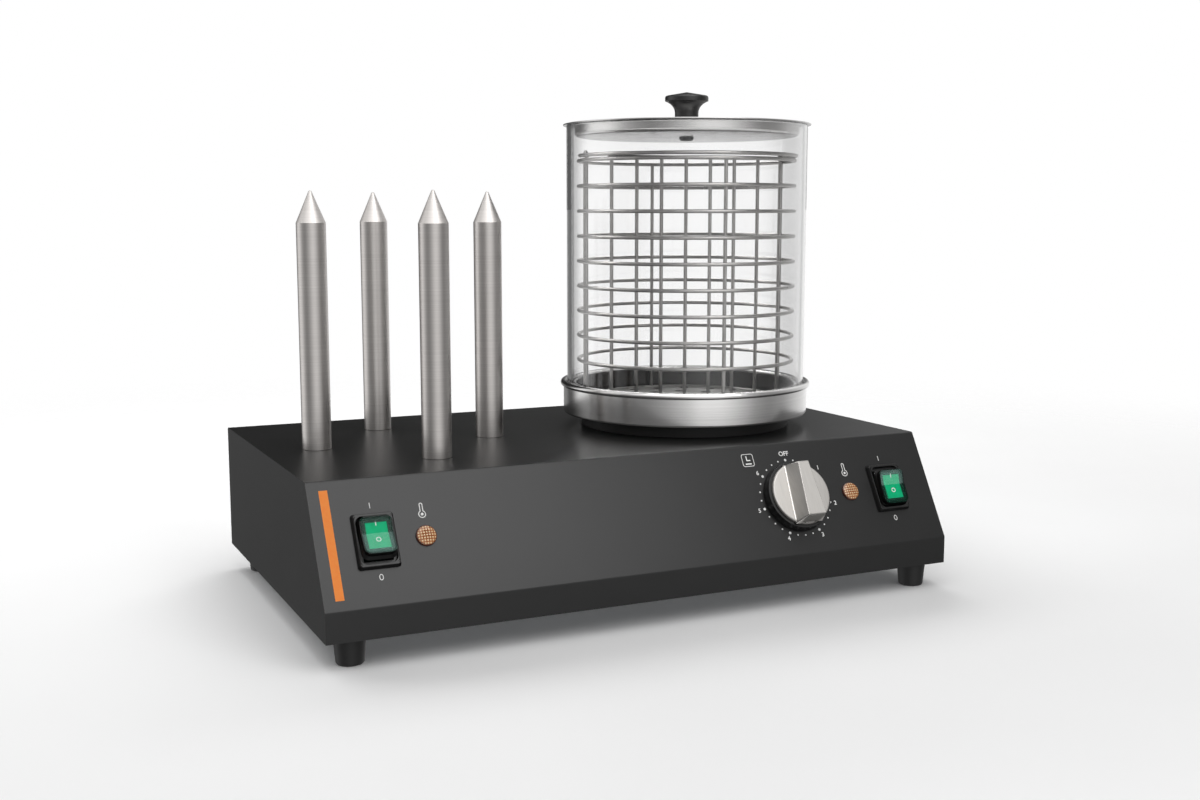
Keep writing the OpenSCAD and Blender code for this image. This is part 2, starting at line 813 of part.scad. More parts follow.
// Dial: a metal cap with a tapering grip on a black skirt, and the regulator behind the panel
module dial_knob() color("#cfcbc7") on_panel(dial_x) difference() {
    union() {
        translate([0, 0, cap_z]) rotate_extrude() polygon([
            [0, 0],
            [cap_d / 2, 0],
            each corner([cap_d / 2, 0], [cap_d / 2, cap_t], [0, cap_t], cap_edge_r),
            [0, cap_t]
        ]);
        grip();
    }
    rod(shaft_d + 2 * run_gap, cap_z - eps, cap_z + shaft_bite + seat_gap);
}

module grip() hull() {
    translate([0, 0, cap_z + cap_t / 2]) grip_outline(grip_flank, 0);
    translate([0, 0, cap_face_z + grip_h - grip_edge]) grip_outline(0, grip_rake);
}

module grip_outline(flank, rake) linear_extrude(grip_edge) polygon([
    [-grip_tail_w / 2 - flank, rake - grip_len / 2],
    [grip_tail_w / 2 + flank, rake - grip_len / 2],
    [grip_point_w / 2 + flank, grip_len / 2 - rake],
    [-grip_point_w / 2 - flank, grip_len / 2 - rake]
]);

module dial_skirt() color("#141414") on_panel(dial_x) rotate_extrude() polygon([
    [shaft_d / 2 + run_gap, cap_z - skirt_wall],
    [skirt_d / 2 - skirt_wall - skirt_taper, cap_z - skirt_wall],
    [skirt_d / 2 - skirt_wall, dial_gap],
    [skirt_d / 2, dial_gap],
    [skirt_d / 2 - skirt_taper, cap_z],
    [shaft_d / 2 + run_gap, cap_z]
]);

module dial_shaft() color("silver") on_panel(dial_x) difference() {
    rod(shaft_d, -sheet_t - regulator_bore + seat_gap, cap_z + shaft_bite);
    translate([shaft_d / 2 - shaft_flat, -shaft_d / 2, bush_len])
        cube([shaft_d, shaft_d, cap_face_z + grip_h]);
}

module regulator_body() color("#b9b4a8") on_panel(dial_x) difference() {
    union() {
        box(regulator_w, regulator_w, -sheet_t - regulator_depth, -sheet_t);
        rod(bush_d, -sheet_t - eps, bush_len);
        for (y = [-1, 1]) translate([0, y * regulator_w / 4, 0])
            blade_pair(regulator_w / 2, -sheet_t - regulator_depth + blade_t);
    }
    rod(shaft_d + 2 * run_gap, -sheet_t - regulator_bore, bush_len + eps);
}

module regulator_nut() color("silver") on_panel(dial_x) nut(bush_nut_d, bush_nut_h, bush_d + hole_gap);

// Rocker switches with clear caps
module switch_frame(side) color("#111111") on_panel(side * switch_x) difference() {
    union() {
        hull() {
            round_box(switch_w, switch_l, switch_corner_r, 0, frame_edge);
            round_box(
                switch_w - 2 * frame_bevel,
                switch_l - 2 * frame_bevel,
                switch_corner_r,
                switch_rise - frame_edge,
                switch_rise
            );
        }
        box(window_w + 2 * body_wall, window_l + 2 * body_wall, -sheet_t - switch_depth, frame_edge);
    }
    round_box(
        boot_base_w + 2 * boot_room_x,
        boot_base_l + 2 * boot_room_y,
        boot_corner_r,
        boot_floor_z,
        switch_rise + eps
    );
    box(window_w, window_l, -sheet_t - switch_depth + body_wall, switch_rise);
    translate([0, 0, -pivot_depth]) rotate([0, 90, 0])
        rod(pivot_pin_d + 2 * run_gap, -window_w / 2 - pivot_pin_bite, window_w / 2 + pivot_pin_bite);
}

module switch_frame_left() switch_frame(-1);
module switch_frame_right() switch_frame(1);

module switch_terminals() color("gold") for (side = [-1, 1]) on_panel(side * switch_x)
    for (y = [-1, 1]) translate([0, y * window_l / 4, 0]) blade_pair(window_w / 2, -sheet_t - switch_depth);

// Rockers are drawn level and then tipped: the left one is pressed at its upper end, the right one below
module tipped(side) on_panel(side * switch_x)
    translate([0, 0, -pivot_depth]) rotate([side * rocker_throw / 2, 0, 0]) translate([0, 0, pivot_depth])
    children();

// Plate from the crease to one end, with round corners at that end
module half_plate(w, reach, r) linear_extrude(boot_skin) {
    translate([-w / 2, 0]) square([w, reach - r]);
    translate([r - w / 2, 0]) square([w - 2 * r, reach]);
    for (x = [-1, 1]) translate([x * (w / 2 - r), reach - r]) circle(r, $fn = 32);
}

// One end of a cap or rocker: its face rises from the crease, so that it lies level when pressed
module rocker_end(w, l, base_w, base_l, r, base_z, crease_z, sign)
    mirror([0, sign < 0 ? 1 : 0, 0]) translate([0, sign * crease_up, 0]) hull() {
        translate([0, 0, base_z]) half_plate(base_w, base_l / 2 - sign * crease_up, r);
        translate([0, 0, crease_z - boot_skin]) rotate([rocker_throw / 2, 0, 0])
            half_plate(w, l / 2 - sign * crease_up, r);
    }

// Clear cap: an edge all round its creased face, a groove, and a skirt that widens into the frame
module boot(side) color("#9fb5ad", 0.5) tipped(side) difference() {
    union() {
        for (sign = [-1, 1])
            rocker_end(boot_w, boot_l, boot_w, boot_l, boot_corner_r, boot_h - boot_edge, boot_h, sign);
        hull() {
            round_box(
                boot_base_w,
                boot_base_l,
                boot_corner_r,
                boot_base_z,
                boot_base_z + boot_skin,
                $fn = 32
            );
            round_box(
                boot_w - 2 * boot_groove,
                boot_l - 2 * boot_groove,
                boot_corner_r,
                boot_h - boot_edge,
                boot_h - boot_edge + boot_skin,
                $fn = 32
            );
        }
    }
    for (sign = [-1, 1]) rocker_end(
        boot_w - 2 * (boot_t + boot_groove),
        boot_l - 2 * (boot_t + boot_groove),
        boot_base_w - 2 * boot_t,
        boot_base_l - 2 * boot_t,
        boot_corner_r - boot_t,
        boot_base_z - boot_skin,
        boot_h - boot_t,
        sign
    );
}

module boot_left() boot(-1);
module boot_right() boot(1);

module rocker(side) color("#1db076") tipped(side) {
    for (sign = [-1, 1]) rocker_end(
        rocker_w,
        rocker_l,
        rocker_w,
        rocker_l,
        rocker_corner_r,
        rocker_low_z,
        boot_h - boot_t - rocker_gap,
        sign
    );
    translate([0, 0, -pivot_depth]) rotate([0, 90, 0])
        rod(pivot_pin_d, -window_w / 2 - pivot_pin_bite + seat_gap, window_w / 2 + pivot_pin_bite - seat_gap);
}

module rocker_left() rocker(-1);
module rocker_right() rocker(1);

// Indicator lamps with faceted lenses
module lamp_lens(side) color("#c9743a") on_panel(side * lamp_x) difference() {
    rotate_extrude() polygon([
        [0, 0],
        [lens_d / 2, 0],
        [lens_d / 2, lens_rim_h],
        for (a = [0:90 / arc_steps:90])
            [lens_d / 2 * cos(a), lens_rim_h + (lens_h - lens_rim_h) * sin(a)]
    ]);
    lines = ceil(lens_d / 2 / lens_pitch);
    for (turn = [0, 90], i = [-lines:lines])
        rotate([0, 0, turn]) translate([(i + 0.5) * lens_pitch, 0, lens_h])
        rotate([90, 45, 0]) cube([groove_depth * sqrt(2), groove_depth * sqrt(2), lens_d], center = true);
}

module lamp_lens_left() lamp_lens(-1);
module lamp_lens_right() lamp_lens(1);

module lamp_body(side) color("#d8d4c8") on_panel(side * lamp_x) {
    rod(lamp_d, -lamp_len, 0);
    blade_pair(lamp_d / 2, -lamp_len + blade_t);
}

module lamp_body_left() lamp_body(-1);
module lamp_body_right() lamp_body(1);

module lamp_nuts() color("silver") for (side = [-1, 1]) on_panel(side * lamp_x)
    translate([0, 0, -sheet_t - lamp_nut_h]) nut(lamp_nut_d, lamp_nut_h, lamp_d + hole_gap);

// Cable gland in the rear wall, and what it leads to
module cable_gland() color("#181818") translate(gland_at) rotate([-90, 0, 0]) difference() {
    union() {
        cylinder(d = gland_hex_d, h = gland_hex_h, $fn = hex);
        translate([0, 0, gland_hex_h]) cylinder(d1 = gland_dome_d, d2 = gland_dome_d * 0.7, h = gland_dome_h);
        rod(gland_body_d, -gland_body_len, gland_hex_h);
    }
    rod(gland_bore_d, -gland_body_len - eps, gland_hex_h + gland_dome_h + eps);
}

module gland_nut() color("#222222") translate(gland_at) rotate([90, 0, 0])
    translate([0, 0, sheet_t]) nut(gland_hex_d, gland_nut_h, gland_body_d + hole_gap);

module terminal_block() color("#e4e0d4")
translate([gland_at.x, rear_y - block_from_rear, flange_z]) difference() {
    box(block_poles * block_pitch, block_w, 0, block_h);
    for (i = [0:block_poles - 1]) translate([(i - (block_poles - 1) / 2) * block_pitch, 0, 0]) {
        translate([0, 0, block_h / 2]) rotate([90, 0, 0]) rod(block_hole_d, -block_w, block_w);
        for (y = [-1, 1]) translate([0, y * block_w / 4, 0])
            rod(block_screw_d, block_h - block_screw_depth, block_h + eps);
    }
}

earth_at = [gland_at.x - earth_from_block, rear_y - block_from_rear];

module earth_stud() color("gold") at_each([earth_at]) rod(earth_d, flange_z, flange_z + earth_len);

module earth_nut() color("gold") at_each([earth_at])
    translate([0, 0, flange_z]) nut(earth_nut_d, earth_nut_h, earth_d + hole_gap);

housing_shell();
base_plate();
base_screws();
foot_front_left();
foot_front_right();
foot_rear_left();
foot_rear_right();
foot_screws();
spike_left();
spike_rear();
spike_front();
spike_right();
spike_washers();
spike_nuts();
spike_heaters();
spike_thermostat();
hot_plate();
plate_element();
plate_cover();
plate_clamp();
plate_stud();
plate_nut();
plate_thermostat();
water_pan();
pan_ring();
glass_cylinder();
lid_dish();
lid_knob();
lid_screw();
basket_rings();
basket_posts();
basket_divider();
basket_floor();
basket_handle();
dial_knob();
dial_skirt();
dial_shaft();
regulator_body();
regulator_nut();
switch_frame_left();
switch_frame_right();
switch_terminals();
boot_left();
boot_right();
rocker_left();
rocker_right();
lamp_lens_left();
lamp_lens_right();
lamp_body_left();
lamp_body_right();
lamp_nuts();
cable_gland();
gland_nut();
terminal_block();
earth_stud();
earth_nut();
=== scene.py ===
# Hot dog machine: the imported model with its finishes, printed marks and studio.
# Metres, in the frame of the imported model. Sizes written in millimetres are multiplied by mm.
import json
import math

import bmesh
import bpy
from mathutils import Matrix, Vector


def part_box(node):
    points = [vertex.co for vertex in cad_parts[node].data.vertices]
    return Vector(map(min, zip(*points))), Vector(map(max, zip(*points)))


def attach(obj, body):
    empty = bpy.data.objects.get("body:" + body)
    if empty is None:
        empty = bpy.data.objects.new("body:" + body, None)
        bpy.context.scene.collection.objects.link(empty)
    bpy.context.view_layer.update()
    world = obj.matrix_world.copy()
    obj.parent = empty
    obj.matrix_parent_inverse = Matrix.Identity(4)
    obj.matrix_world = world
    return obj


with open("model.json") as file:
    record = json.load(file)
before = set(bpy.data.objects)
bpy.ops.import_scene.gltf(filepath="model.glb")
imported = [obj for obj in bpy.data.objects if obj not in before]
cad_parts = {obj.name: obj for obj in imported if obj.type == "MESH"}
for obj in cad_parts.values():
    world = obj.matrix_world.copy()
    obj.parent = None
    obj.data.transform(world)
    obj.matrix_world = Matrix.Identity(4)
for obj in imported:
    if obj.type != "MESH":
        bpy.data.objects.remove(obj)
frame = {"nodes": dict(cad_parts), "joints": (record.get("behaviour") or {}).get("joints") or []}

mm = 0.001
nodes = frame["nodes"]
joints = {joint["name"]: joint for joint in frame["joints"]}
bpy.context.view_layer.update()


# Places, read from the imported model
def middle(node):
    low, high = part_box(node)
    return (Vector(low) + Vector(high)) / 2


across = Vector((1, 0, 0))
dial_at = Vector(joints["dial_turn"]["pos_m"])
panel_out = -Vector(joints["dial_turn"]["axis"]).normalized()
panel_up = panel_out.cross(across)
steamer_at = middle("glass_cylinder")
spikes = ["spike_left", "spike_rear", "spike_front", "spike_right"]
# The half of each rocker that is raised at rest: 1 for the upper one, -1 for the lower one
raised_half = {"left": -1, "right": 1}


def on_panel(x, y=0, lift=0):
    """Axes across, up and out of the panel, in millimetres.
    x starts at the machine's middle, y half-way up the panel and lift on its face."""
    axes = Matrix((across, panel_up, panel_out)).transposed().to_4x4()
    place = Vector((0, dial_at.y, dial_at.z)) + (x * across + y * panel_up + lift * panel_out) * mm
    return Matrix.Translation(place) @ axes


# A level rocker's face is two flat halves that rise from a crease, in millimetres from the panel's axes
crease_up = 1.6
crease_height = 7.4
# Width and length of the bright window in a rocker's face, and of the clear face of the cap over it
rocker_window = (15, 18.6)
cap_window = (21.4, 26.4)


def on_rocker(side, y, lift):
    """Axes on one half of a rocker's face, y up from its crease along that half, in millimetres."""
    tilt = joints[side + "_rocker_tilt"]
    pivot = Vector(tilt["pos_m"])
    half_throw = math.radians(tilt["range_deg"][1] - tilt["range_deg"][0]) / 2
    pivot_depth = (Vector((pivot.x, dial_at.y, dial_at.z)) - pivot).length / mm
    tipped = Matrix.Rotation(raised_half[side] * half_throw, 4, "X")
    rise = Matrix.Rotation(math.copysign(half_throw, y), 4, "X")
    to_crease = Matrix.Translation(Vector((0, crease_up, crease_height + pivot_depth)) * mm)
    along = Matrix.Translation(Vector((0, y, lift)) * mm)
    return on_panel(pivot.x / mm, 0, -pivot_depth) @ tipped @ to_crease @ rise @ along


# Shader nodes

# A colour mix has several sockets of one name, so they are given by number
mix_share = 0
mix_first = 6
mix_second = 7
mix_result = 2
# Nearly all of a noise lies between these, where a ramp over it has its two colours
noise_low = 0.3
noise_high = 0.7


def linear(hex_colour):
    """An sRGB hex colour as linear RGBA."""
    def channel(start):
        value = int(hex_colour[start:start + 2], 16) / 255
        return value / 12.92 if value <= 0.04045 else ((value + 0.055) / 1.055) ** 2.4
    return (channel(1), channel(3), channel(5), 1)


def wire(tree, node, inputs):
    """Links each given socket to an input, and sets any other given value on it."""
    for name, value in inputs.items():
        if isinstance(value, bpy.types.NodeSocket):
            tree.links.new(value, node.inputs[name])
        else:
            node.inputs[name].default_value = value


def add(tree, kind, inputs=None, stops=(), **settings):
    """Adds a node with its settings, its inputs and, on a colour ramp, its stops."""
    node = tree.nodes.new(kind)
    for name, value in settings.items():
        setattr(node, name, value)
    wire(tree, node, inputs or {})
    for i, (where, colour) in enumerate(stops):
        elements = node.color_ramp.elements
        # A new ramp already has two stops
        element = elements[i] if i < 2 else elements.new(where)
        element.position = where
        element.color = colour
    return node


def new_material(name):
    made = bpy.data.materials.new(name)
    made.use_nodes = True
    return made, made.node_tree, made.node_tree.nodes["Principled BSDF"]


# Materials
def powder_coat():
    """Steel sheet, powder coated: a half-matt black with the orange-peel grain of baked powder."""
    cloud_size = 60 * mm
    # The real grain is about 0.3 mm wide: it is drawn at 0.9 mm, which the render can show
    grain_size = 0.9 * mm
    grain_depth = 0.02 * mm
    made, tree, skin = new_material("powder_coated_steel_black")
    place = add(tree, "ShaderNodeTexCoord").outputs["Object"]
    clouds = add(tree, "ShaderNodeTexNoise", {"Vector": place, "Scale": 1 / cloud_size, "Detail": 3})
    grain = add(tree, "ShaderNodeTexNoise", {"Vector": place, "Scale": 1 / grain_size, "Detail": 2})
    tone = add(tree, "ShaderNodeValToRGB", {"Fac": clouds.outputs["Fac"]},
               [(noise_low, linear("#1b1b1b")), (noise_high, linear("#1f1f1f"))])
    sheen = add(tree, "ShaderNodeMapRange", {
        "Value": grain.outputs["Fac"], "To Min": 0.3, "To Max": 0.38})
    bump = add(tree, "ShaderNodeBump", {
        "Height": grain.outputs["Fac"], "Strength": 0.2, "Distance": grain_depth})
    wire(tree, skin, {
        "Base Color": tone.outputs["Color"],
        "Roughness": sheen.outputs["Result"],
        "Normal": bump.outputs["Normal"],
        "IOR": 1.5,
    })
    return made


def moulded(name, dark, light, roughness, grain_size, ior, grain_depth=0.02):
    """A moulded plastic or rubber, or an enamel: slow clouds in its colour and fine pits in its skin.
    The pits' sizes are in millimetres: real ones are about 0.2 mm wide, and are drawn wider, so that
    the render can show them."""
    cloud_size = 18 * mm
    roughness_change = 0.05
    made, tree, skin = new_material(name)
    place = add(tree, "ShaderNodeTexCoord").outputs["Object"]
    clouds = add(tree, "ShaderNodeTexNoise", {"Vector": place, "Scale": 1 / cloud_size, "Detail": 3})
    pits = add(tree, "ShaderNodeTexNoise", {
        "Vector": place, "Scale": 1 / (grain_size * mm), "Detail": 2})
    tone = add(tree, "ShaderNodeValToRGB", {"Fac": clouds.outputs["Fac"]},
               [(noise_low, linear(dark)), (noise_high, linear(light))])
    sheen = add(tree, "ShaderNodeMapRange", {
        "Value": pits.outputs["Fac"],
        "To Min": roughness - roughness_change,
        "To Max": roughness + roughness_change,
    })
    bump = add(tree, "ShaderNodeBump", {
        "Height": pits.outputs["Fac"], "Strength": 0.3, "Distance": grain_depth * mm})
    wire(tree, skin, {
        "Base Color": tone.outputs["Color"],
        "Roughness": sheen.outputs["Result"],
        "Normal": bump.outputs["Normal"],
        "IOR": ior,
    })
    return made


def plated(name, dark, light, roughness, cloud_size):
    """A plated or drawn metal: its colour and sheen change a little from place to place.
    The clouds' size is in millimetres."""
    roughness_change = 0.06
    made, tree, skin = new_material(name)
    place = add(tree, "ShaderNodeTexCoord").outputs["Object"]
    clouds = add(tree, "ShaderNodeTexNoise", {
        "Vector": place, "Scale": 1 / (cloud_size * mm), "Detail": 4})
    tone = add(tree, "ShaderNodeValToRGB", {"Fac": clouds.outputs["Fac"]},
               [(noise_low, linear(dark)), (noise_high, linear(light))])
    sheen = add(tree, "ShaderNodeMapRange", {
        "Value": clouds.outputs["Fac"],
        "To Min": roughness - roughness_change,
        "To Max": roughness + roughness_change,
    })
    wire(tree, skin, {
        "Base Color": tone.outputs["Color"],
        "Metallic": 1,
        "Roughness": sheen.outputs["Result"],
    })
    return made


def spun_metal(name, axis_at, dark, light, roughness, line_width, anisotropic,
               under_shade=1.0, slope_light=1.0, slope_blur=0.0):
    """Metal finished while it turned: fine lines round its upright axis smear each highlight across them.
    Its colour is multiplied by under on faces that look down, as painted shade, and by slope on those that
    lean back, as a painted highlight; the roughness of those grows by slope_blur. The lines' width is in
    millimetres: real ones are about 0.1 mm
    wide, and are drawn wider, so that the render can show them."""
    cloud_size = 40 * mm
    line_depth = 0.006 * mm
    line_low = 0.25
    line_high = 0.75
    roughness_change = 0.05
    made, tree, skin = new_material(name)
    place = add(tree, "ShaderNodeTexCoord").outputs["Object"]
    from_axis = add(tree, "ShaderNodeVectorMath", {0: place, 1: (axis_at.x, axis_at.y, 0)},
                    operation="SUBTRACT")
    flat = add(tree, "ShaderNodeVectorMath", {0: from_axis.outputs[0], 1: (1, 1, 0)}, operation="MULTIPLY")
    radius = add(tree, "ShaderNodeVectorMath", {0: flat.outputs[0]}, operation="LENGTH")
    height = add(tree, "ShaderNodeSeparateXYZ", {"Vector": place})
    across_lines = add(tree, "ShaderNodeCombineXYZ", {
        "X": radius.outputs["Value"], "Y": height.outputs["Z"]})
    lines = add(tree, "ShaderNodeTexNoise", {
        "Vector": across_lines.outputs["Vector"], "Scale": 1 / (line_width * mm), "Detail": 3})
    clouds = add(tree, "ShaderNodeTexNoise", {"Vector": place, "Scale": 1 / cloud_size, "Detail": 3})
    tone = add(tree, "ShaderNodeValToRGB", {"Fac": lines.outputs["Fac"]},
               [(line_low, linear(dark)), (line_high, linear(light))])

    # How far a face looks up: 1 on a level top, 0 on an upright wall and -1 on an underside
    normal = add(tree, "ShaderNodeNewGeometry").outputs["Normal"]
    facing_up = add(tree, "ShaderNodeSeparateXYZ", {"Vector": normal}).outputs["Z"]
    # Faces that look down are darkened: painted shade
    shaded_below = add(tree, "ShaderNodeMapRange", {
        "Value": facing_up, "From Min": -0.9, "From Max": -0.7, "To Min": under_shade, "To Max": 1})
    leaning = {"Value": facing_up, "From Min": 0.15, "From Max": 0.3}
    # Faces that lean back are brightened: a painted highlight
    ground = add(tree, "ShaderNodeMapRange", {**leaning, "To Min": 1, "To Max": slope_light})
    blur = add(tree, "ShaderNodeMapRange", {**leaning, "To Min": 0, "To Max": slope_blur})
    painted_light = add(tree, "ShaderNodeMath", {0: shaded_below.outputs["Result"], 1: ground.outputs["Result"]},
                     operation="MULTIPLY")
    shown = add(tree, "ShaderNodeMix", {
        mix_share: 1.0, mix_first: tone.outputs["Color"], mix_second: painted_light.outputs[0]},
        data_type="RGBA", blend_type="MULTIPLY")

    sheen = add(tree, "ShaderNodeMapRange", {
        "Value": clouds.outputs["Fac"],
        "To Min": roughness - roughness_change,
        "To Max": roughness + roughness_change,
    })
    blurred = add(tree, "ShaderNodeMath", {0: sheen.outputs["Result"], 1: blur.outputs["Result"]},
                  operation="ADD")
    bump = add(tree, "ShaderNodeBump", {
        "Height": lines.outputs["Fac"], "Strength": 0.15, "Distance": line_depth})
    round_axis = add(tree, "ShaderNodeVectorMath", {0: (0, 0, 1), 1: flat.outputs[0]},
                     operation="CROSS_PRODUCT")
    wire(tree, skin, {
        "Base Color": shown.outputs[mix_result],
        "Metallic": 1,
        "Roughness": blurred.outputs[0],
        "Normal": bump.outputs["Normal"],
        "Tangent": round_axis.outputs[0],
        "Anisotropic": anisotropic,
    })
    return made


def satin_dial():
    """Die-cast zinc in satin chrome, brushed along the grip: pale, with soft lengthways streaks."""
    # Brushing is about 0.1 mm wide: it is drawn at 0.5 mm, which the render can show
    line_width = 0.5 * mm
    line_depth = 0.01 * mm
    line_stretch = 40
    made, tree, skin = new_material("satin_chromed_zinc")
    place = add(tree, "ShaderNodeTexCoord").outputs["Object"]
    side = add(tree, "ShaderNodeVectorMath", {0: place, 1: across}, operation="DOT_PRODUCT")
    along = add(tree, "ShaderNodeVectorMath", {0: place, 1: panel_up / line_stretch},
                operation="DOT_PRODUCT")
    stretched = add(tree, "ShaderNodeCombineXYZ", {
        "X": side.outputs["Value"], "Y": along.outputs["Value"]})
    lines = add(tree, "ShaderNodeTexNoise", {
        "Vector": stretched.outputs["Vector"], "Scale": 1 / line_width, "Detail": 3})
    tone = add(tree, "ShaderNodeValToRGB", {"Fac": lines.outputs["Fac"]},
               [(noise_low, linear("#bfbcb8")), (noise_high, linear("#cbc8c4"))])
    sheen = add(tree, "ShaderNodeMapRange", {
        "Value": lines.outputs["Fac"], "To Min": 0.5, "To Max": 0.6})
    bump = add(tree, "ShaderNodeBump", {
        "Height": lines.outputs["Fac"], "Strength": 0.1, "Distance": line_depth})
    wire(tree, skin, {
        "Base Color": tone.outputs["Color"],
        "Metallic": 1,
        "Roughness": sheen.outputs["Result"],
        "Normal": bump.outputs["Normal"],
    })
    return made


def drawn_glass():
    """Borosilicate glass, drawn: clear and colourless, with slow ripples that bend what is behind it."""
    ripple_size = 60 * mm
    ripple_depth = 0.05 * mm
    made, tree, skin = new_material("borosilicate_glass_drawn")
    place = add(tree, "ShaderNodeTexCoord").outputs["Object"]
    ripples = add(tree, "ShaderNodeTexNoise", {"Vector": place, "Scale": 1 / ripple_size, "Detail": 2})
    bump = add(tree, "ShaderNodeBump", {
        "Height": ripples.outputs["Fac"], "Strength": 0.05, "Distance": ripple_depth})
    wire(tree, skin, {
        "Base Color": linear("#fdfdfd"),
        "Roughness": 0,
        "IOR": 1.47,
        "Transmission Weight": 1,
        "Normal": bump.outputs["Normal"],
    })
    return made


def face_axes(tree, side):
    """Distances across and up a rocker's face, from the middle of its crease."""
    place = add(tree, "ShaderNodeTexCoord").outputs["Object"]
    crease = on_rocker(side, 0, 0)
    up_face = crease.to_3x3() @ Vector((0, 1, 0))
    from_crease = add(tree, "ShaderNodeVectorMath", {0: place, 1: crease.translation},
                      operation="SUBTRACT")
    distances = []
    for way in (across, up_face):
        along = add(tree, "ShaderNodeVectorMath", {0: from_crease.outputs[0], 1: way},
                    operation="DOT_PRODUCT")
        distances.append(along.outputs["Value"])
    return distances


def face_window(tree, x, y, size):
    """1 inside a rectangle on a rocker's face, 0 round it and on its sides. Its size is in millimetres."""
    width, length = size
    # A face counts as the front where at least this share of its normal points out of the panel
    least_facing = 0.8
    in_x = add(tree, "ShaderNodeMath", {0: x, 1: 0, 2: width / 2 * mm}, operation="COMPARE")
    in_y = add(tree, "ShaderNodeMath", {0: y, 1: -crease_up * mm, 2: length / 2 * mm}, operation="COMPARE")
    normal = add(tree, "ShaderNodeNewGeometry").outputs["Normal"]
    out = add(tree, "ShaderNodeVectorMath", {0: normal, 1: panel_out}, operation="DOT_PRODUCT")
    out_or_in = add(tree, "ShaderNodeMath", {0: out.outputs["Value"]}, operation="ABSOLUTE")
    facing = add(tree, "ShaderNodeMath", {0: out_or_in.outputs[0], 1: least_facing},
                 operation="GREATER_THAN")
    in_both = add(tree, "ShaderNodeMath", {0: in_x.outputs[0], 1: in_y.outputs[0]}, operation="MULTIPLY")
    window = add(tree, "ShaderNodeMath", {0: in_both.outputs[0], 1: facing.outputs[0]},
                 operation="MULTIPLY")
    return window.outputs[0]


# Both the rocker round its window and the cap pressed on it show this green
dark_green = "#1d4639"


def rocker_plastic(side):
    """Polycarbonate rocker, moulded in a dark green, with a bright green window in its face."""
    cloud_size = 6 * mm
    made, tree, skin = new_material("polycarbonate_green_window_" + side)
    place = add(tree, "ShaderNodeTexCoord").outputs["Object"]
    window = face_window(tree, *face_axes(tree, side), rocker_window)
    clouds = add(tree, "ShaderNodeTexNoise", {"Vector": place, "Scale": 1 / cloud_size, "Detail": 2})
    green = add(tree, "ShaderNodeValToRGB", {"Fac": clouds.outputs["Fac"]},
                [(noise_low, linear("#12b87a")), (noise_high, linear("#1cc288"))])
    tone = add(tree, "ShaderNodeMix", {
        mix_share: window, mix_first: linear(dark_green), mix_second: green.outputs["Color"]},
        data_type="RGBA")
    wire(tree, skin, {
        "Base Color": tone.outputs[mix_result],
        "Roughness": 0.3,
        "IOR": 1.58,
        "Specular IOR Level": 0.05,
    })
    return made


def silicone_cap(side):
    """Silicone switch cap, moulded: half-matt black round a clear face.
    Where the face is pressed on the rocker it can't be seen, but is dark green beside the window.
    Where it stands off, a pale colour is painted on it: a painted reflection."""
    cloud_size = 6 * mm
    made, tree, skin = new_material("silicone_moulded_clear_and_black_" + side)
    place = add(tree, "ShaderNodeTexCoord").outputs["Object"]
    x, y = face_axes(tree, side)
    clear_face = face_window(tree, x, y, cap_window)
    over_window = face_window(tree, x, y, rocker_window)
    clouds = add(tree, "ShaderNodeTexNoise", {"Vector": place, "Scale": 1 / cloud_size, "Detail": 2})
    black = add(tree, "ShaderNodeValToRGB", {"Fac": clouds.outputs["Fac"]},
                [(noise_low, linear("#0a0a0a")), (noise_high, linear("#101010"))])
    sheen = add(tree, "ShaderNodeMapRange", {"Value": clear_face, "To Min": 0.3, "To Max": 0.12})
    towards_raised = add(tree, "ShaderNodeMath", {0: y, 1: raised_half[side]}, operation="MULTIPLY")
    raised = add(tree, "ShaderNodeMath", {0: towards_raised.outputs[0], 1: 0}, operation="GREATER_THAN")
    # The pressed half shows the rocker's dark green; the raised half is painted pale, a painted reflection
    film = add(tree, "ShaderNodeMix", {
        mix_share: raised.outputs[0], mix_first: linear(dark_green), mix_second: linear("#c4f7ea")},
        data_type="RGBA")
    tone = add(tree, "ShaderNodeMix", {
        mix_share: clear_face, mix_first: black.outputs["Color"], mix_second: film.outputs[mix_result]},
        data_type="RGBA")
    pressed = add(tree, "ShaderNodeMapRange", {"Value": over_window, "To Min": 0.4, "To Max": 0})
    # How much of the clear face shows: the painted reflection covers the raised half at a tenth
    cover_and_painted_sheen = add(tree, "ShaderNodeMapRange", {
        "Value": raised.outputs[0], "To Min": pressed.outputs["Result"], "To Max": 0.1})
    cover = add(tree, "ShaderNodeMapRange", {
        "Value": clear_face, "To Min": 1, "To Max": cover_and_painted_sheen.outputs["Result"]})
    wire(tree, skin, {
        "Base Color": tone.outputs[mix_result],
        "Roughness": sheen.outputs["Result"],
        "IOR": 1.41,
        "Specular IOR Level": 0.3,
        "Alpha": cover.outputs["Result"],
    })
    return made


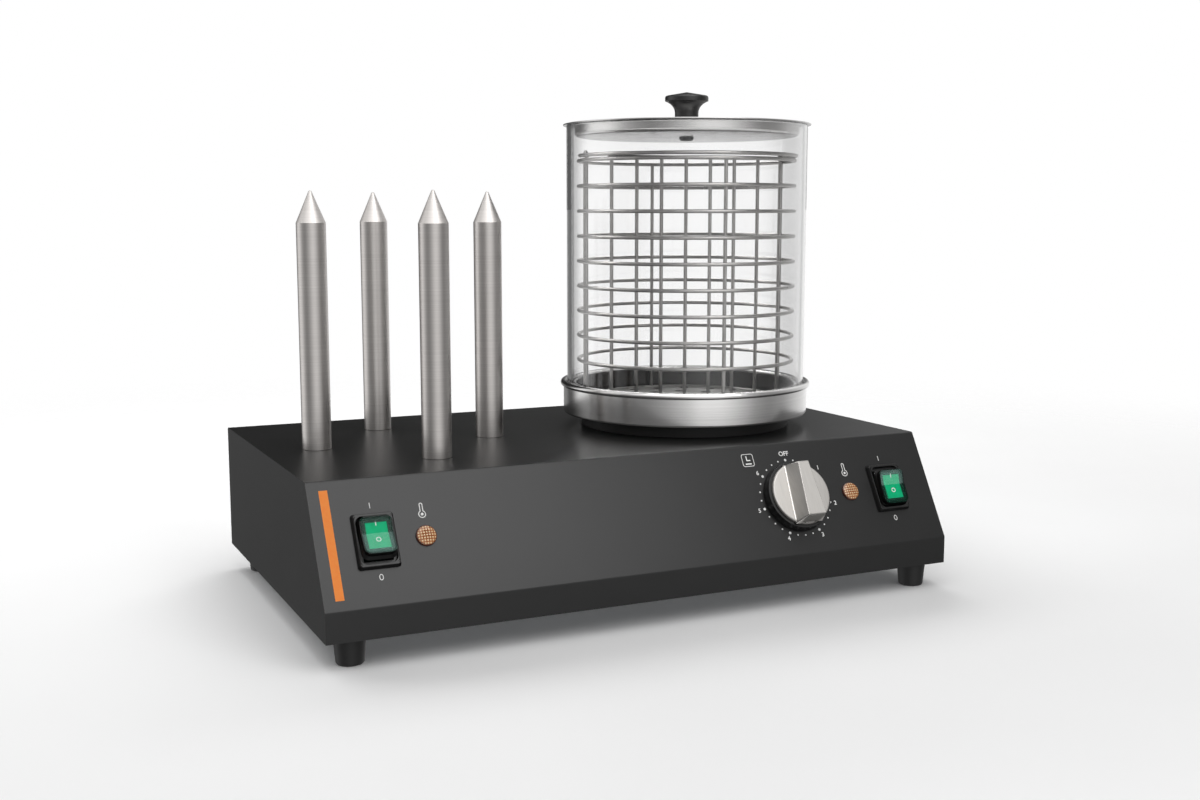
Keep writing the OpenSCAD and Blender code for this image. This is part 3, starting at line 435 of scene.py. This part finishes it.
def amber_lens(side):
    """Amber polycarbonate, moulded with a cut grid: each facet has a painted highlight in its middle, and
    painted shade darkens the cuts brown and the rim a deeper brown."""
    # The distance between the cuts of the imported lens
    facet_size = 1.9 * mm
    rim_shade_from = 6 * mm
    rim_shade_to = 7 * mm
    lens = "lamp_lens_" + side
    made, tree, skin = new_material("polycarbonate_amber_faceted_" + side)
    place = add(tree, "ShaderNodeTexCoord").outputs["Object"]
    from_axis = add(tree, "ShaderNodeVectorMath", {0: place, 1: middle(lens)}, operation="SUBTRACT")
    x = add(tree, "ShaderNodeVectorMath", {0: from_axis.outputs[0], 1: across}, operation="DOT_PRODUCT")
    y = add(tree, "ShaderNodeVectorMath", {0: from_axis.outputs[0], 1: panel_up}, operation="DOT_PRODUCT")
    on_face = add(tree, "ShaderNodeCombineXYZ", {"X": x.outputs["Value"], "Y": y.outputs["Value"]})
    facets = add(tree, "ShaderNodeTexVoronoi", {
        "Vector": on_face.outputs["Vector"], "Scale": 1 / facet_size, "Randomness": 0},
        voronoi_dimensions="2D", distance="CHEBYCHEV")
    # From a facet's middle, at 0, with its painted highlight, to the cut beside it, at 0.5, in painted
    # shade
    tone = add(tree, "ShaderNodeValToRGB", {"Fac": facets.outputs["Distance"]},
               [(0.16, linear("#ffe8ba")), (0.32, linear("#ea9a58")), (0.48, linear("#8a4620"))])
    radius = add(tree, "ShaderNodeVectorMath", {0: on_face.outputs["Vector"]}, operation="LENGTH")
    # The rim is darkened brown: painted shade
    rim = add(tree, "ShaderNodeMapRange", {
        "Value": radius.outputs["Value"], "From Min": rim_shade_from, "From Max": rim_shade_to})
    shown = add(tree, "ShaderNodeMix", {
        mix_share: rim.outputs["Result"], mix_first: tone.outputs["Color"], mix_second: linear("#5c3022")},
        data_type="RGBA")
    wire(tree, skin, {
        "Base Color": shown.outputs[mix_result],
        "Roughness": 0.18,
        "IOR": 1.58,
        "Transmission Weight": 0.2,
    })
    return made


def ink(name, dark, light):
    """Screen-printed ink: an even matt film, a little thinner in places."""
    cloud_size = 3 * mm
    made, tree, skin = new_material(name)
    place = add(tree, "ShaderNodeTexCoord").outputs["Object"]
    clouds = add(tree, "ShaderNodeTexNoise", {"Vector": place, "Scale": 1 / cloud_size, "Detail": 3})
    tone = add(tree, "ShaderNodeValToRGB", {"Fac": clouds.outputs["Fac"]},
               [(noise_low, linear(dark)), (noise_high, linear(light))])
    wire(tree, skin, {"Base Color": tone.outputs["Color"], "Roughness": 0.55, "Specular IOR Level": 0.2})
    return made


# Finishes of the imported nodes
black_coat = powder_coat()
# Zinc on sheet: a cool grey, faintly clouded
zinc_sheet = plated("zinc_plated_steel_sheet", "#9a9c9e", "#b0b2b4", roughness=0.42, cloud_size=15)
# Zinc on screws and nuts: paler, with a clear gleam
zinc_bright = plated("zinc_plated_steel_fasteners", "#b0b2b4", "#c6c8ca", roughness=0.3, cloud_size=6)
# Brass: a warm yellow gleam
brass = plated("brass_bright_drawn", "#b5924c", "#cbaa62", roughness=0.3, cloud_size=6)
# Stainless tube that has been hot: a brownish grey
heater_steel = plated("stainless_tube_heat_tinted", "#7d776f", "#98928a", roughness=0.38, cloud_size=10)
# Electropolished wire: a smooth grey with a thin line of light along it
wire_steel = plated("stainless_wire_electropolished", "#9e9c9a", "#aeacaa", roughness=0.3, cloud_size=12)
# Sheet that steam has dulled: a darker grey
floor_steel = plated("stainless_sheet_steamed", "#73726f", "#868582", roughness=0.36, cloud_size=20)
# Spun pan: bright, with a soft picture of the studio round it
pan_steel = spun_metal("stainless_sheet_spun_pan", steamer_at, "#e0dfde", "#ecebea",
                       roughness=0.2, line_width=0.8, anisotropic=0.1)
# Polished ring in the pan: glossy, its colour darkened as painted shade for the shaded inside of the pan
ring_steel_painted_shade = spun_metal("stainless_ring_dark_painted_shade", steamer_at, "#474645", "#565554",
                        roughness=0.14, line_width=0.8, anisotropic=0.2)
# Spun lid: bright above and round its rim, with painted shade darkening its undersides
lid_steel = spun_metal("stainless_sheet_spun_lid", steamer_at, "#d2d1d0", "#dfdedd",
                       roughness=0.22, line_width=0.8, anisotropic=0.2, under_shade=0.26)
# Rubber: matt, nearly black
rubber = moulded("rubber_moulded_black", "#121212", "#181818", roughness=0.55, grain_size=0.8, ior=1.52)
# Enamel on cast iron: black, darkened further as painted shade under the pan, matt, with a coarse skin
iron_and_painted_shade = moulded("cast_iron_matt_black_enamel", "#060606", "#0a0a0a",
               roughness=0.6, grain_size=1.2, ior=1.5, grain_depth=0.05)
# Bakelite: black and smooth, with a soft gleam
bakelite = moulded("bakelite_moulded_black", "#0d0d0d", "#121212",
                   roughness=0.38, grain_size=1.0, ior=1.6, grain_depth=0.003)
# ABS: black, with the fine grain of its mould
black_abs = moulded("abs_moulded_black", "#0c0c0c", "#121212", roughness=0.36, grain_size=0.7, ior=1.54)
# Phenolic: a matt brown
phenolic = moulded("phenolic_moulded_brown", "#4c3423", "#5d4230", roughness=0.5, grain_size=0.8, ior=1.6)
# Nylon: a matt cream
cream_nylon = moulded("nylon_moulded_cream", "#d2ccba", "#e0dbca", roughness=0.5, grain_size=0.8, ior=1.53)
glass = drawn_glass()
chrome_dial = satin_dial()
# Polished chrome on the dial's edges: thin bright lines, from their polish and from a lighter colour
# painted on as a highlight
chrome_edge_painted_highlight = plated("bright_chromed_zinc_edges", "#d9d6d2", "#e4e1dd", roughness=0.2, cloud_size=6)
white_ink = ink("screen_ink_white", "#f4f4f2", "#fefefc")
orange_ink = ink("screen_ink_orange", "#ff9042", "#ff9a4a")

finishes = {
    black_coat: ["housing_shell"],
    zinc_sheet: ["base_plate", "plate_cover", "plate_clamp", "spike_washers"],
    zinc_bright: ["base_screws", "foot_screws", "spike_nuts", "plate_stud", "plate_nut", "lamp_nuts",
                  "regulator_nut", "dial_shaft"],
    brass: ["switch_terminals", "earth_stud", "earth_nut"],
    heater_steel: ["spike_heaters", "plate_element"],
    wire_steel: ["basket_rings", "basket_posts", "basket_divider", "basket_handle"],
    floor_steel: ["basket_floor"],
    pan_steel: ["water_pan"],
    ring_steel_painted_shade: ["pan_ring"],
    lid_steel: ["lid_dish"],
    rubber: ["foot_front_left", "foot_front_right", "foot_rear_left", "foot_rear_right"],
    iron_and_painted_shade: ["hot_plate"],
    bakelite: ["lid_knob", "lid_screw"],
    black_abs: ["dial_skirt", "switch_frame_left", "switch_frame_right", "cable_gland", "gland_nut"],
    phenolic: ["spike_thermostat", "plate_thermostat"],
    cream_nylon: ["regulator_body", "terminal_block", "lamp_body_left", "lamp_body_right"],
    glass: ["glass_cylinder"],
    chrome_dial: ["dial_knob"],
}
for side in raised_half:
    finishes[rocker_plastic(side)] = ["rocker_" + side]
    finishes[silicone_cap(side)] = ["boot_" + side]
    finishes[amber_lens(side)] = ["lamp_lens_" + side]
for spike in spikes:
    # Turned bar: a soft grey with lengthways bands of light, and a point whose colour is lifted as a
    # painted highlight and whose roughness is raised
    turned_bar = spun_metal("stainless_bar_turned_" + spike, middle(spike), "#c2bebb", "#d2cecb",
                            roughness=0.32, line_width=0.9, anisotropic=0.3, slope_light=1.1, slope_blur=0.14)
    finishes[turned_bar] = [spike]

for finish, names in finishes.items():
    for name in names:
        nodes[name].material_slots[0].material = finish

# Clear walls don't darken what is inside them
for name in ["glass_cylinder", "boot_left", "boot_right"]:
    nodes[name].visible_shadow = False


# Edges, as the tool or the coat leaves them, with angles in degrees
sharp_angle = 35
shoulder_angle = 15


def even_shading(sharp_from):
    """Joins a node's split vertices and shades it smooth between edges sharper than the given angle."""
    join_within = 0.005 * mm
    group = bpy.data.node_groups.new("even_shading", "GeometryNodeTree")
    for way in ("INPUT", "OUTPUT"):
        group.interface.new_socket("Geometry", in_out=way, socket_type="NodeSocketGeometry")
    given = add(group, "NodeGroupInput").outputs["Geometry"]
    joined = add(group, "GeometryNodeMergeByDistance", {"Geometry": given, "Distance": join_within})
    plain = add(group, "GeometryNodeRemoveAttribute", {
        "Geometry": joined.outputs[0], "Name": "custom_normal"})
    smooth = add(group, "GeometryNodeSetShadeSmooth", {
        "Geometry": plain.outputs[0], "Shade Smooth": True}, domain="FACE")
    angle = add(group, "GeometryNodeInputMeshEdgeAngle").outputs["Unsigned Angle"]
    sharp = add(group, "FunctionNodeCompare", {"A": angle, "B": math.radians(sharp_from)},
                operation="GREATER_THAN")
    split = add(group, "GeometryNodeSetShadeSmooth", {
        "Geometry": smooth.outputs[0], "Selection": sharp.outputs[0], "Shade Smooth": False},
        domain="EDGE")
    add(group, "NodeGroupOutput", {"Geometry": split.outputs[0]})
    return group


def shade(names, shading):
    """Gives nodes one of the even shadings."""
    for name in names:
        smooth = nodes[name].modifiers.new("even_shading", "NODES")
        smooth.node_group = shading


def soften(names, radius, segments=2):
    """Rounds the sharp edges of nodes, so that they catch the light. The radius is in millimetres."""
    for name in names:
        edges = nodes[name].modifiers.new("edges", "BEVEL")
        edges.width = radius * mm
        edges.segments = segments
        edges.limit_method = "ANGLE"
        edges.angle_limit = math.radians(sharp_angle)
        edges.use_clamp_overlap = False
        edges.harden_normals = True


dial_and_switches = ["dial_knob", "dial_skirt", "switch_frame_left", "switch_frame_right",
                     "boot_left", "boot_right", "rocker_left", "rocker_right"]
shade(["housing_shell", "water_pan", "lid_dish", "lid_knob", "hot_plate"] + dial_and_switches,
      even_shading(sharp_angle))
# The edge between a spike's bar and its point is blunt, and has to stay sharp
shade(spikes, even_shading(shoulder_angle))
soften(["dial_knob"], radius=0.65, segments=3)
soften(["dial_skirt", "switch_frame_left", "switch_frame_right"], radius=0.35)
soften(["lid_dish", "lid_knob", "hot_plate"] + spikes, radius=0.3)

# The dial's edges are polished, with a painted highlight in their lighter colour: they take its second
# material
nodes["dial_knob"].data.materials.append(chrome_edge_painted_highlight)
nodes["dial_knob"].modifiers["edges"].material = 1


# Printed marks, in millimetres
ink_depth = 0.04
# The ink starts a little off the panel, and fills this share of its depth
ink_share = 0.8


def arc(x, y, r, start=0, end=360, steps=32):
    """Points round a centre, in millimetres and degrees."""
    return [
        (x + r * math.cos(math.radians(start + (end - start) * i / steps)),
         y + r * math.sin(math.radians(start + (end - start) * i / steps)))
        for i in range(steps + 1)
    ]


def disc(x, y, r):
    return [arc(x, y, r)[:-1]]


def line(path, width, closed=False):
    """A drawn line of even width: a four-sided outline for each stretch of its path, with mitred turns."""
    # A mitre reaches no further than the line's half width divided by this
    least_mitre = 0.3
    points = [Vector(p) for p in path]
    count = len(points)
    edge = []
    for i, point in enumerate(points):
        before = (point - points[i - 1]).normalized() if closed or i > 0 else None
        after = (points[(i + 1) % count] - point).normalized() if closed or i < count - 1 else None
        before = before or after
        after = after or before
        mitre = Vector((-before.y - after.y, before.x + after.x)).normalized()
        reach = width / 2 / max(least_mitre, mitre.dot(Vector((-before.y, before.x))))
        edge.append((point + reach * mitre, point - reach * mitre))
    last = count if closed else count - 1
    return [
        [edge[i][0], edge[i][1], edge[(i + 1) % count][1], edge[(i + 1) % count][0]]
        for i in range(last)
    ]


def printed(name, outlines, place, body, finish):
    """A film of ink in the given outlines, on the plane of place."""
    join_within = 0.001 * mm
    film = bmesh.new()
    for outline in outlines:
        corners = [film.verts.new((x * mm, y * mm, ink_depth * mm)) for x, y in outline]
        face = film.faces.new(corners)
        face.normal_update()
        if face.normal.z < 0:
            face.normal_flip()
    bmesh.ops.remove_doubles(film, verts=film.verts[:], dist=join_within)
    bmesh.ops.solidify(film, geom=film.faces[:], thickness=ink_share * ink_depth * mm)
    mesh = bpy.data.meshes.new(name)
    film.to_mesh(mesh)
    film.free()
    mesh.materials.append(finish)
    piece = bpy.data.objects.new(name, mesh)
    bpy.context.scene.collection.objects.link(piece)
    piece.matrix_world = place
    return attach(piece, body)


def word(name, text, x, y, height):
    """A printed word or number on the panel, its place and the height of its capitals in millimetres."""
    # The share of a letter's size that its capitals reach in the built-in font
    capital_share = 0.73
    # How much wider each stroke is drawn on both sides, because that font is thin
    stroke_extra = 0.1
    letters = bpy.data.curves.new(name, "FONT")
    letters.body = text
    letters.align_x = "CENTER"
    letters.align_y = "CENTER"
    letters.size = height * mm / capital_share
    letters.offset = stroke_extra * mm
    letters.extrude = ink_share / 2 * ink_depth * mm
    letters.materials.append(white_ink)
    piece = bpy.data.objects.new(name, letters)
    bpy.context.scene.collection.objects.link(piece)
    piece.matrix_world = on_panel(x, y, (1 - ink_share / 2) * ink_depth)
    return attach(piece, "base")


# Orange stripe at the left end of the panel
stripe_x = -238.9
stripe_y = 0.3
stripe_width = 6
stripe_half_length = 38
stripe = line([(0, -stripe_half_length), (0, stripe_half_length)], stripe_width)
printed("stripe", stripe, on_panel(stripe_x, stripe_y), "base", orange_ink)

# Dial scale: a dot for each quarter step, larger at OFF and at each number
dial_x = dial_at.x / mm
steps = 7
quarters = 4
dots_r = 30.5
small_dot_r = 0.65
large_dot_r = 1.05
numbers_r = 35.2
number_height = 3.4
off_r = 35.7
off_height = 3.7
dots = []
for i in range(steps * quarters):
    turn = math.radians(90 - 360 * i / (steps * quarters))
    dot_r = small_dot_r if i % quarters else large_dot_r
    dots += disc(dots_r * math.cos(turn), dots_r * math.sin(turn), dot_r)
printed("dial_dots", dots, on_panel(dial_x), "base", white_ink)
word("dial_off", "OFF", dial_x, off_r, off_height)
for number in range(1, steps):
    turn = math.radians(90 - 360 * number / steps)
    number_x = dial_x + numbers_r * math.cos(turn)
    word(f"dial_{number}", str(number), number_x, numbers_r * math.sin(turn), number_height)

# Marks of the switches: a stroke above and an oval below each, and a stroke and a ring on its rocker
mark_y = 25
mark_line = 0.55
rocker_stroke_y = 7
rocker_ring_y = -4.6
rocker_lift = 0.05
stroke = line([(0, -2), (0, 2)], mark_line)
oval = line([(1.25 * x, 1.9 * y) for x, y in arc(0, 0, 1)[:-1]], mark_line, closed=True)
rocker_stroke = line([(0, -1.6), (0, 1.6)], 0.7)
rocker_ring = line(arc(0, 0, 1.5)[:-1], 0.65, closed=True)
for side in raised_half:
    switch_x = joints[side + "_rocker_tilt"]["pos_m"][0] / mm
    body = side + "_rocker"
    on_upper = on_rocker(side, rocker_stroke_y, rocker_lift)
    on_lower = on_rocker(side, rocker_ring_y, rocker_lift)
    printed("mark_i_" + side, stroke, on_panel(switch_x, mark_y), "base", white_ink)
    printed("mark_0_" + side, oval, on_panel(switch_x, -mark_y), "base", white_ink)
    printed("rocker_i_" + side, rocker_stroke, on_upper, body, white_ink)
    printed("rocker_o_" + side, rocker_ring, on_lower, body, white_ink)

# Thermometer over each lamp: a tube that opens into a bulb, with a drop in it
thermometer_y = 19
tube_r = 1
tube_top = 3.4
bulb_r = 2.4
bulb_y = -3.5
drop_r = 1
opening = math.degrees(math.acos(tube_r / bulb_r))
tube_end = arc(0, tube_top, tube_r, 0, 180, steps=12)
bulb = arc(0, bulb_y, bulb_r, 180 - opening, 360 + opening)
thermometer = line([*tube_end, *bulb], 0.6, closed=True) + disc(0, bulb_y, drop_r)
for side in raised_half:
    lamp_x = middle("lamp_lens_" + side).x / mm
    printed("thermometer_" + side, thermometer, on_panel(lamp_x, thermometer_y), "base", white_ink)

# Clock sign left of the dial: a rounded square, two hands and a bar
clock_x = 90
clock_y = 33
corner_r = 1.6
corner_from_middle = 4.9 - corner_r
square = []
for right, up, start in [(1, 1, 0), (-1, 1, 90), (-1, -1, 180), (1, -1, 270)]:
    square += arc(right * corner_from_middle, up * corner_from_middle, corner_r, start, start + 90, steps=8)
hands = line([(-0.9, 3.4), (-0.9, -0.2), (2.2, -0.2)], 0.9)
bar = line([(-2.6, -3), (2.6, -3)], 1.1)
clock = line(square, 0.5, closed=True) + hands + bar
printed("clock", clock, on_panel(clock_x, clock_y), "base", white_ink)


# Camera, from the photograph's viewpoint
camera_at = Vector((-0.4657, -1.0166, 0.2976))
camera_turn = math.radians(-25.54)
camera_dip = math.radians(-7.76)
camera_data = bpy.data.cameras.new("camera")
camera_data.lens = 41.87
camera_data.sensor_width = 36
camera = bpy.data.objects.new("camera", camera_data)
camera.location = camera_at
camera.rotation_euler = (math.pi / 2 + camera_dip, 0, camera_turn)
bpy.context.scene.collection.objects.link(camera)
bpy.context.scene.camera = camera


# Studio
def softbox(name, place, aim, width, height, radiance):
    """An area lamp that gives the stated radiance over its whole face."""
    lamp = bpy.data.lights.new(name, "AREA")
    lamp.shape = "RECTANGLE"
    lamp.size = width
    lamp.size_y = height
    lamp.energy = radiance * math.pi * width * height
    box = bpy.data.objects.new(name, lamp)
    box.location = place
    box.rotation_euler = (Vector(aim) - Vector(place)).to_track_quat("-Z", "Y").to_euler()
    bpy.context.scene.collection.objects.link(box)
    return box


# The rear lamp throws the shadow forward, and is hidden from the black top, which would mirror it
rear = softbox("rear", (-0.15, 1.25, 1.42), aim=(0.0, 0.0, 0.05), width=3.6, height=0.6, radiance=4.9)
rear.visible_glossy = False
softbox("overhead", (0.05, -0.42, 1.85), aim=(0.0, -0.1, 0.1), width=1.6, height=1.4, radiance=1.45)
# The key stands where the left end of the panel mirrors it, and leaves the right end dark
softbox("key", (0.316, -1.26, 1.26), aim=(-0.15, -0.13, 0.08), width=0.9, height=0.9, radiance=2.2)


def studio_world():
    """White to the eye. Metal and glass see a studio: a pale front between dark flags, and white behind."""
    # Radiance of what metal and glass see at level 1, of the long softbox, and of the light all round
    surroundings_at_1 = 1.5
    long_box_radiance = 1.3
    ambient_radiance = 0.33
    world = bpy.data.worlds.new("studio")
    bpy.context.scene.world = world
    world.use_nodes = True
    tree = world.node_tree
    tree.nodes.clear()
    rays = add(tree, "ShaderNodeLightPath").outputs
    way = add(tree, "ShaderNodeTexCoord").outputs["Generated"]
    rise = add(tree, "ShaderNodeSeparateXYZ", {"Vector": way}).outputs["Z"]
    front = Vector((camera_at.x, camera_at.y, 0)).normalized()
    right = Vector((-front.y, front.x, 0))
    forward = add(tree, "ShaderNodeVectorMath", {0: way, 1: front}, operation="DOT_PRODUCT")
    sideways = add(tree, "ShaderNodeVectorMath", {0: way, 1: right}, operation="DOT_PRODUCT")
    angle_round = add(tree, "ShaderNodeMath", {
        0: sideways.outputs["Value"], 1: forward.outputs["Value"]}, operation="ARCTAN2")
    share_round = add(tree, "ShaderNodeMapRange", {
        "Value": angle_round.outputs[0], "From Min": -math.pi, "From Max": math.pi})

    def grey(level):
        return (level, level, level, 1)

    # Levels by the angle in degrees from the front towards the right
    in_front = [
        (-88, 0.75), (-65, 0.3), (-40, 0.16), (-22, 0.27), (0, 0.5), (10, 0.68), (30, 0.68), (45, 0.5),
        (65, 0.24), (80, 0.17), (100, 0.24), (120, 0.42),
    ]
    levels = {
        # What metal mirrors
        "round_about": [
            (-180, 0.67), (-177, 0.67), (-172, 0.2), (-152, 0.15), (-144, 0.04), (-134, 0.04), (-124, 0.6),
            (-116, 0.75), *in_front, (140, 0.55), (155, 0.67), (180, 0.67),
        ],
        # Its share above the horizon: dark behind the machine, less so towards the right
        "above": [
            (-180, 0.08), (-130, 0.08), (-105, 1), (150, 1), (163, 0.45), (173, 0.13), (180, 0.09),
        ],
        # What the glass bends into view: a dark flag along its left edge, greyer paper along its right one
        "beside_glass": [
            (-180, 0.67), (-175, 0.67), (-170, 0.45), (-169, 0.1), (-126, 0.1), (-115, 0.75), *in_front,
            (140, 0.4), (151, 0.4), (156, 0.63), (163, 0.63), (165, 0.51), (169, 0.51), (171, 0.67),
            (180, 0.67),
        ],
        # A long softbox over the camera, which the spikes' points mirror
        "long_box": [(-180, 0), (-75, 0), (-45, 1), (0, 1), (60, 0), (180, 0)],
    }
    seen = {}
    for name, stops in levels.items():
        ramp = add(tree, "ShaderNodeValToRGB", {"Fac": share_round.outputs["Result"]},
                   [((angle + 180) / 360, grey(level)) for angle, level in stops])
        seen[name] = ramp.outputs["Color"]

    is_above = add(tree, "ShaderNodeMath", {0: rise, 1: 0}, operation="GREATER_THAN")
    # Well below the horizon is the floor next to the machine, in its shadow
    below = add(tree, "ShaderNodeMapRange", {
        "Value": rise, "From Min": -0.17, "From Max": -0.25, "To Min": 1, "To Max": 0.65})
    dimming = add(tree, "ShaderNodeMix", {
        mix_share: is_above.outputs[0], mix_first: below.outputs["Result"], mix_second: seen["above"]},
        data_type="RGBA")
    dimmed = add(tree, "ShaderNodeMix", {
        mix_share: 1.0, mix_first: seen["round_about"], mix_second: dimming.outputs[mix_result]},
        data_type="RGBA", blend_type="MULTIPLY")
    # A grey ceiling, which the lid mirrors when it is seen from above
    ceiling = add(tree, "ShaderNodeMapRange", {"Value": rise, "From Min": 0.7, "From Max": 0.85})
    roofed = add(tree, "ShaderNodeMix", {
        mix_share: ceiling.outputs["Result"],
        mix_first: dimmed.outputs[mix_result],
        mix_second: grey(0.45),
    }, data_type="RGBA")
    at_box = add(tree, "ShaderNodeMapRange", {"Value": rise, "From Min": 0.2, "From Max": 0.5},
                 interpolation_type="SMOOTHSTEP")
    in_box = add(tree, "ShaderNodeMath", {0: at_box.outputs["Result"], 1: seen["long_box"]},
                 operation="MULTIPLY")

    ambient = add(tree, "ShaderNodeBackground", {"Color": grey(1), "Strength": ambient_radiance})
    reflected = add(tree, "ShaderNodeBackground", {
        "Color": roofed.outputs[mix_result], "Strength": surroundings_at_1})
    bent = add(tree, "ShaderNodeBackground", {
        "Color": seen["beside_glass"], "Strength": surroundings_at_1})
    white = add(tree, "ShaderNodeBackground", {"Color": grey(1), "Strength": 1})
    box = add(tree, "ShaderNodeBackground", {"Color": grey(1), "Strength": long_box_radiance})
    mirrored = add(tree, "ShaderNodeMixShader", {
        0: in_box.outputs[0], 1: reflected.outputs[0], 2: box.outputs[0]})
    lit = add(tree, "ShaderNodeMixShader", {
        0: rays["Is Glossy Ray"], 1: ambient.outputs[0], 2: mirrored.outputs[0]})
    through = add(tree, "ShaderNodeMixShader", {
        0: rays["Is Transmission Ray"], 1: lit.outputs[0], 2: bent.outputs[0]})
    shown = add(tree, "ShaderNodeMixShader", {
        0: rays["Is Camera Ray"], 1: through.outputs[0], 2: white.outputs[0]})
    add(tree, "ShaderNodeOutputWorld", {"Surface": shown.outputs[0]})


def floor():
    """A pale floor that keeps the shadow and fades out into the white around it."""
    floor_r = 4
    fade_from = 0.45
    fade_to = 1.5
    mottle_size = 300 * mm
    mesh = bpy.data.meshes.new("floor")
    ground = bmesh.new()
    bmesh.ops.create_circle(ground, cap_ends=True, segments=96, radius=floor_r)
    ground.to_mesh(mesh)
    ground.free()
    made, tree, skin = new_material("paper_sweep_white")
    place = add(tree, "ShaderNodeTexCoord").outputs["Object"]
    distance = add(tree, "ShaderNodeVectorMath", {0: place}, operation="LENGTH")
    fade = add(tree, "ShaderNodeMapRange", {
        "Value": distance.outputs["Value"], "From Min": fade_from, "From Max": fade_to},
        interpolation_type="SMOOTHSTEP")
    mottle = add(tree, "ShaderNodeTexNoise", {"Vector": place, "Scale": 1 / mottle_size, "Detail": 2})
    tone = add(tree, "ShaderNodeValToRGB", {"Fac": mottle.outputs["Fac"]},
               [(noise_low, linear("#efefef")), (noise_high, linear("#f2f2f2"))])
    wire(tree, skin, {"Base Color": tone.outputs["Color"], "Roughness": 0.9, "Specular IOR Level": 0.1})
    open_air = add(tree, "ShaderNodeBsdfTransparent")
    mixed = add(tree, "ShaderNodeMixShader", {
        0: fade.outputs["Result"], 1: skin.outputs["BSDF"], 2: open_air.outputs[0]})
    wire(tree, tree.nodes["Material Output"], {"Surface": mixed.outputs[0]})
    mesh.materials.append(made)
    piece = bpy.data.objects.new("floor", mesh)
    bpy.context.scene.collection.objects.link(piece)
    piece.visible_glossy = False


studio_world()
floor()
bpy.context.scene.view_settings.view_transform = "Standard"
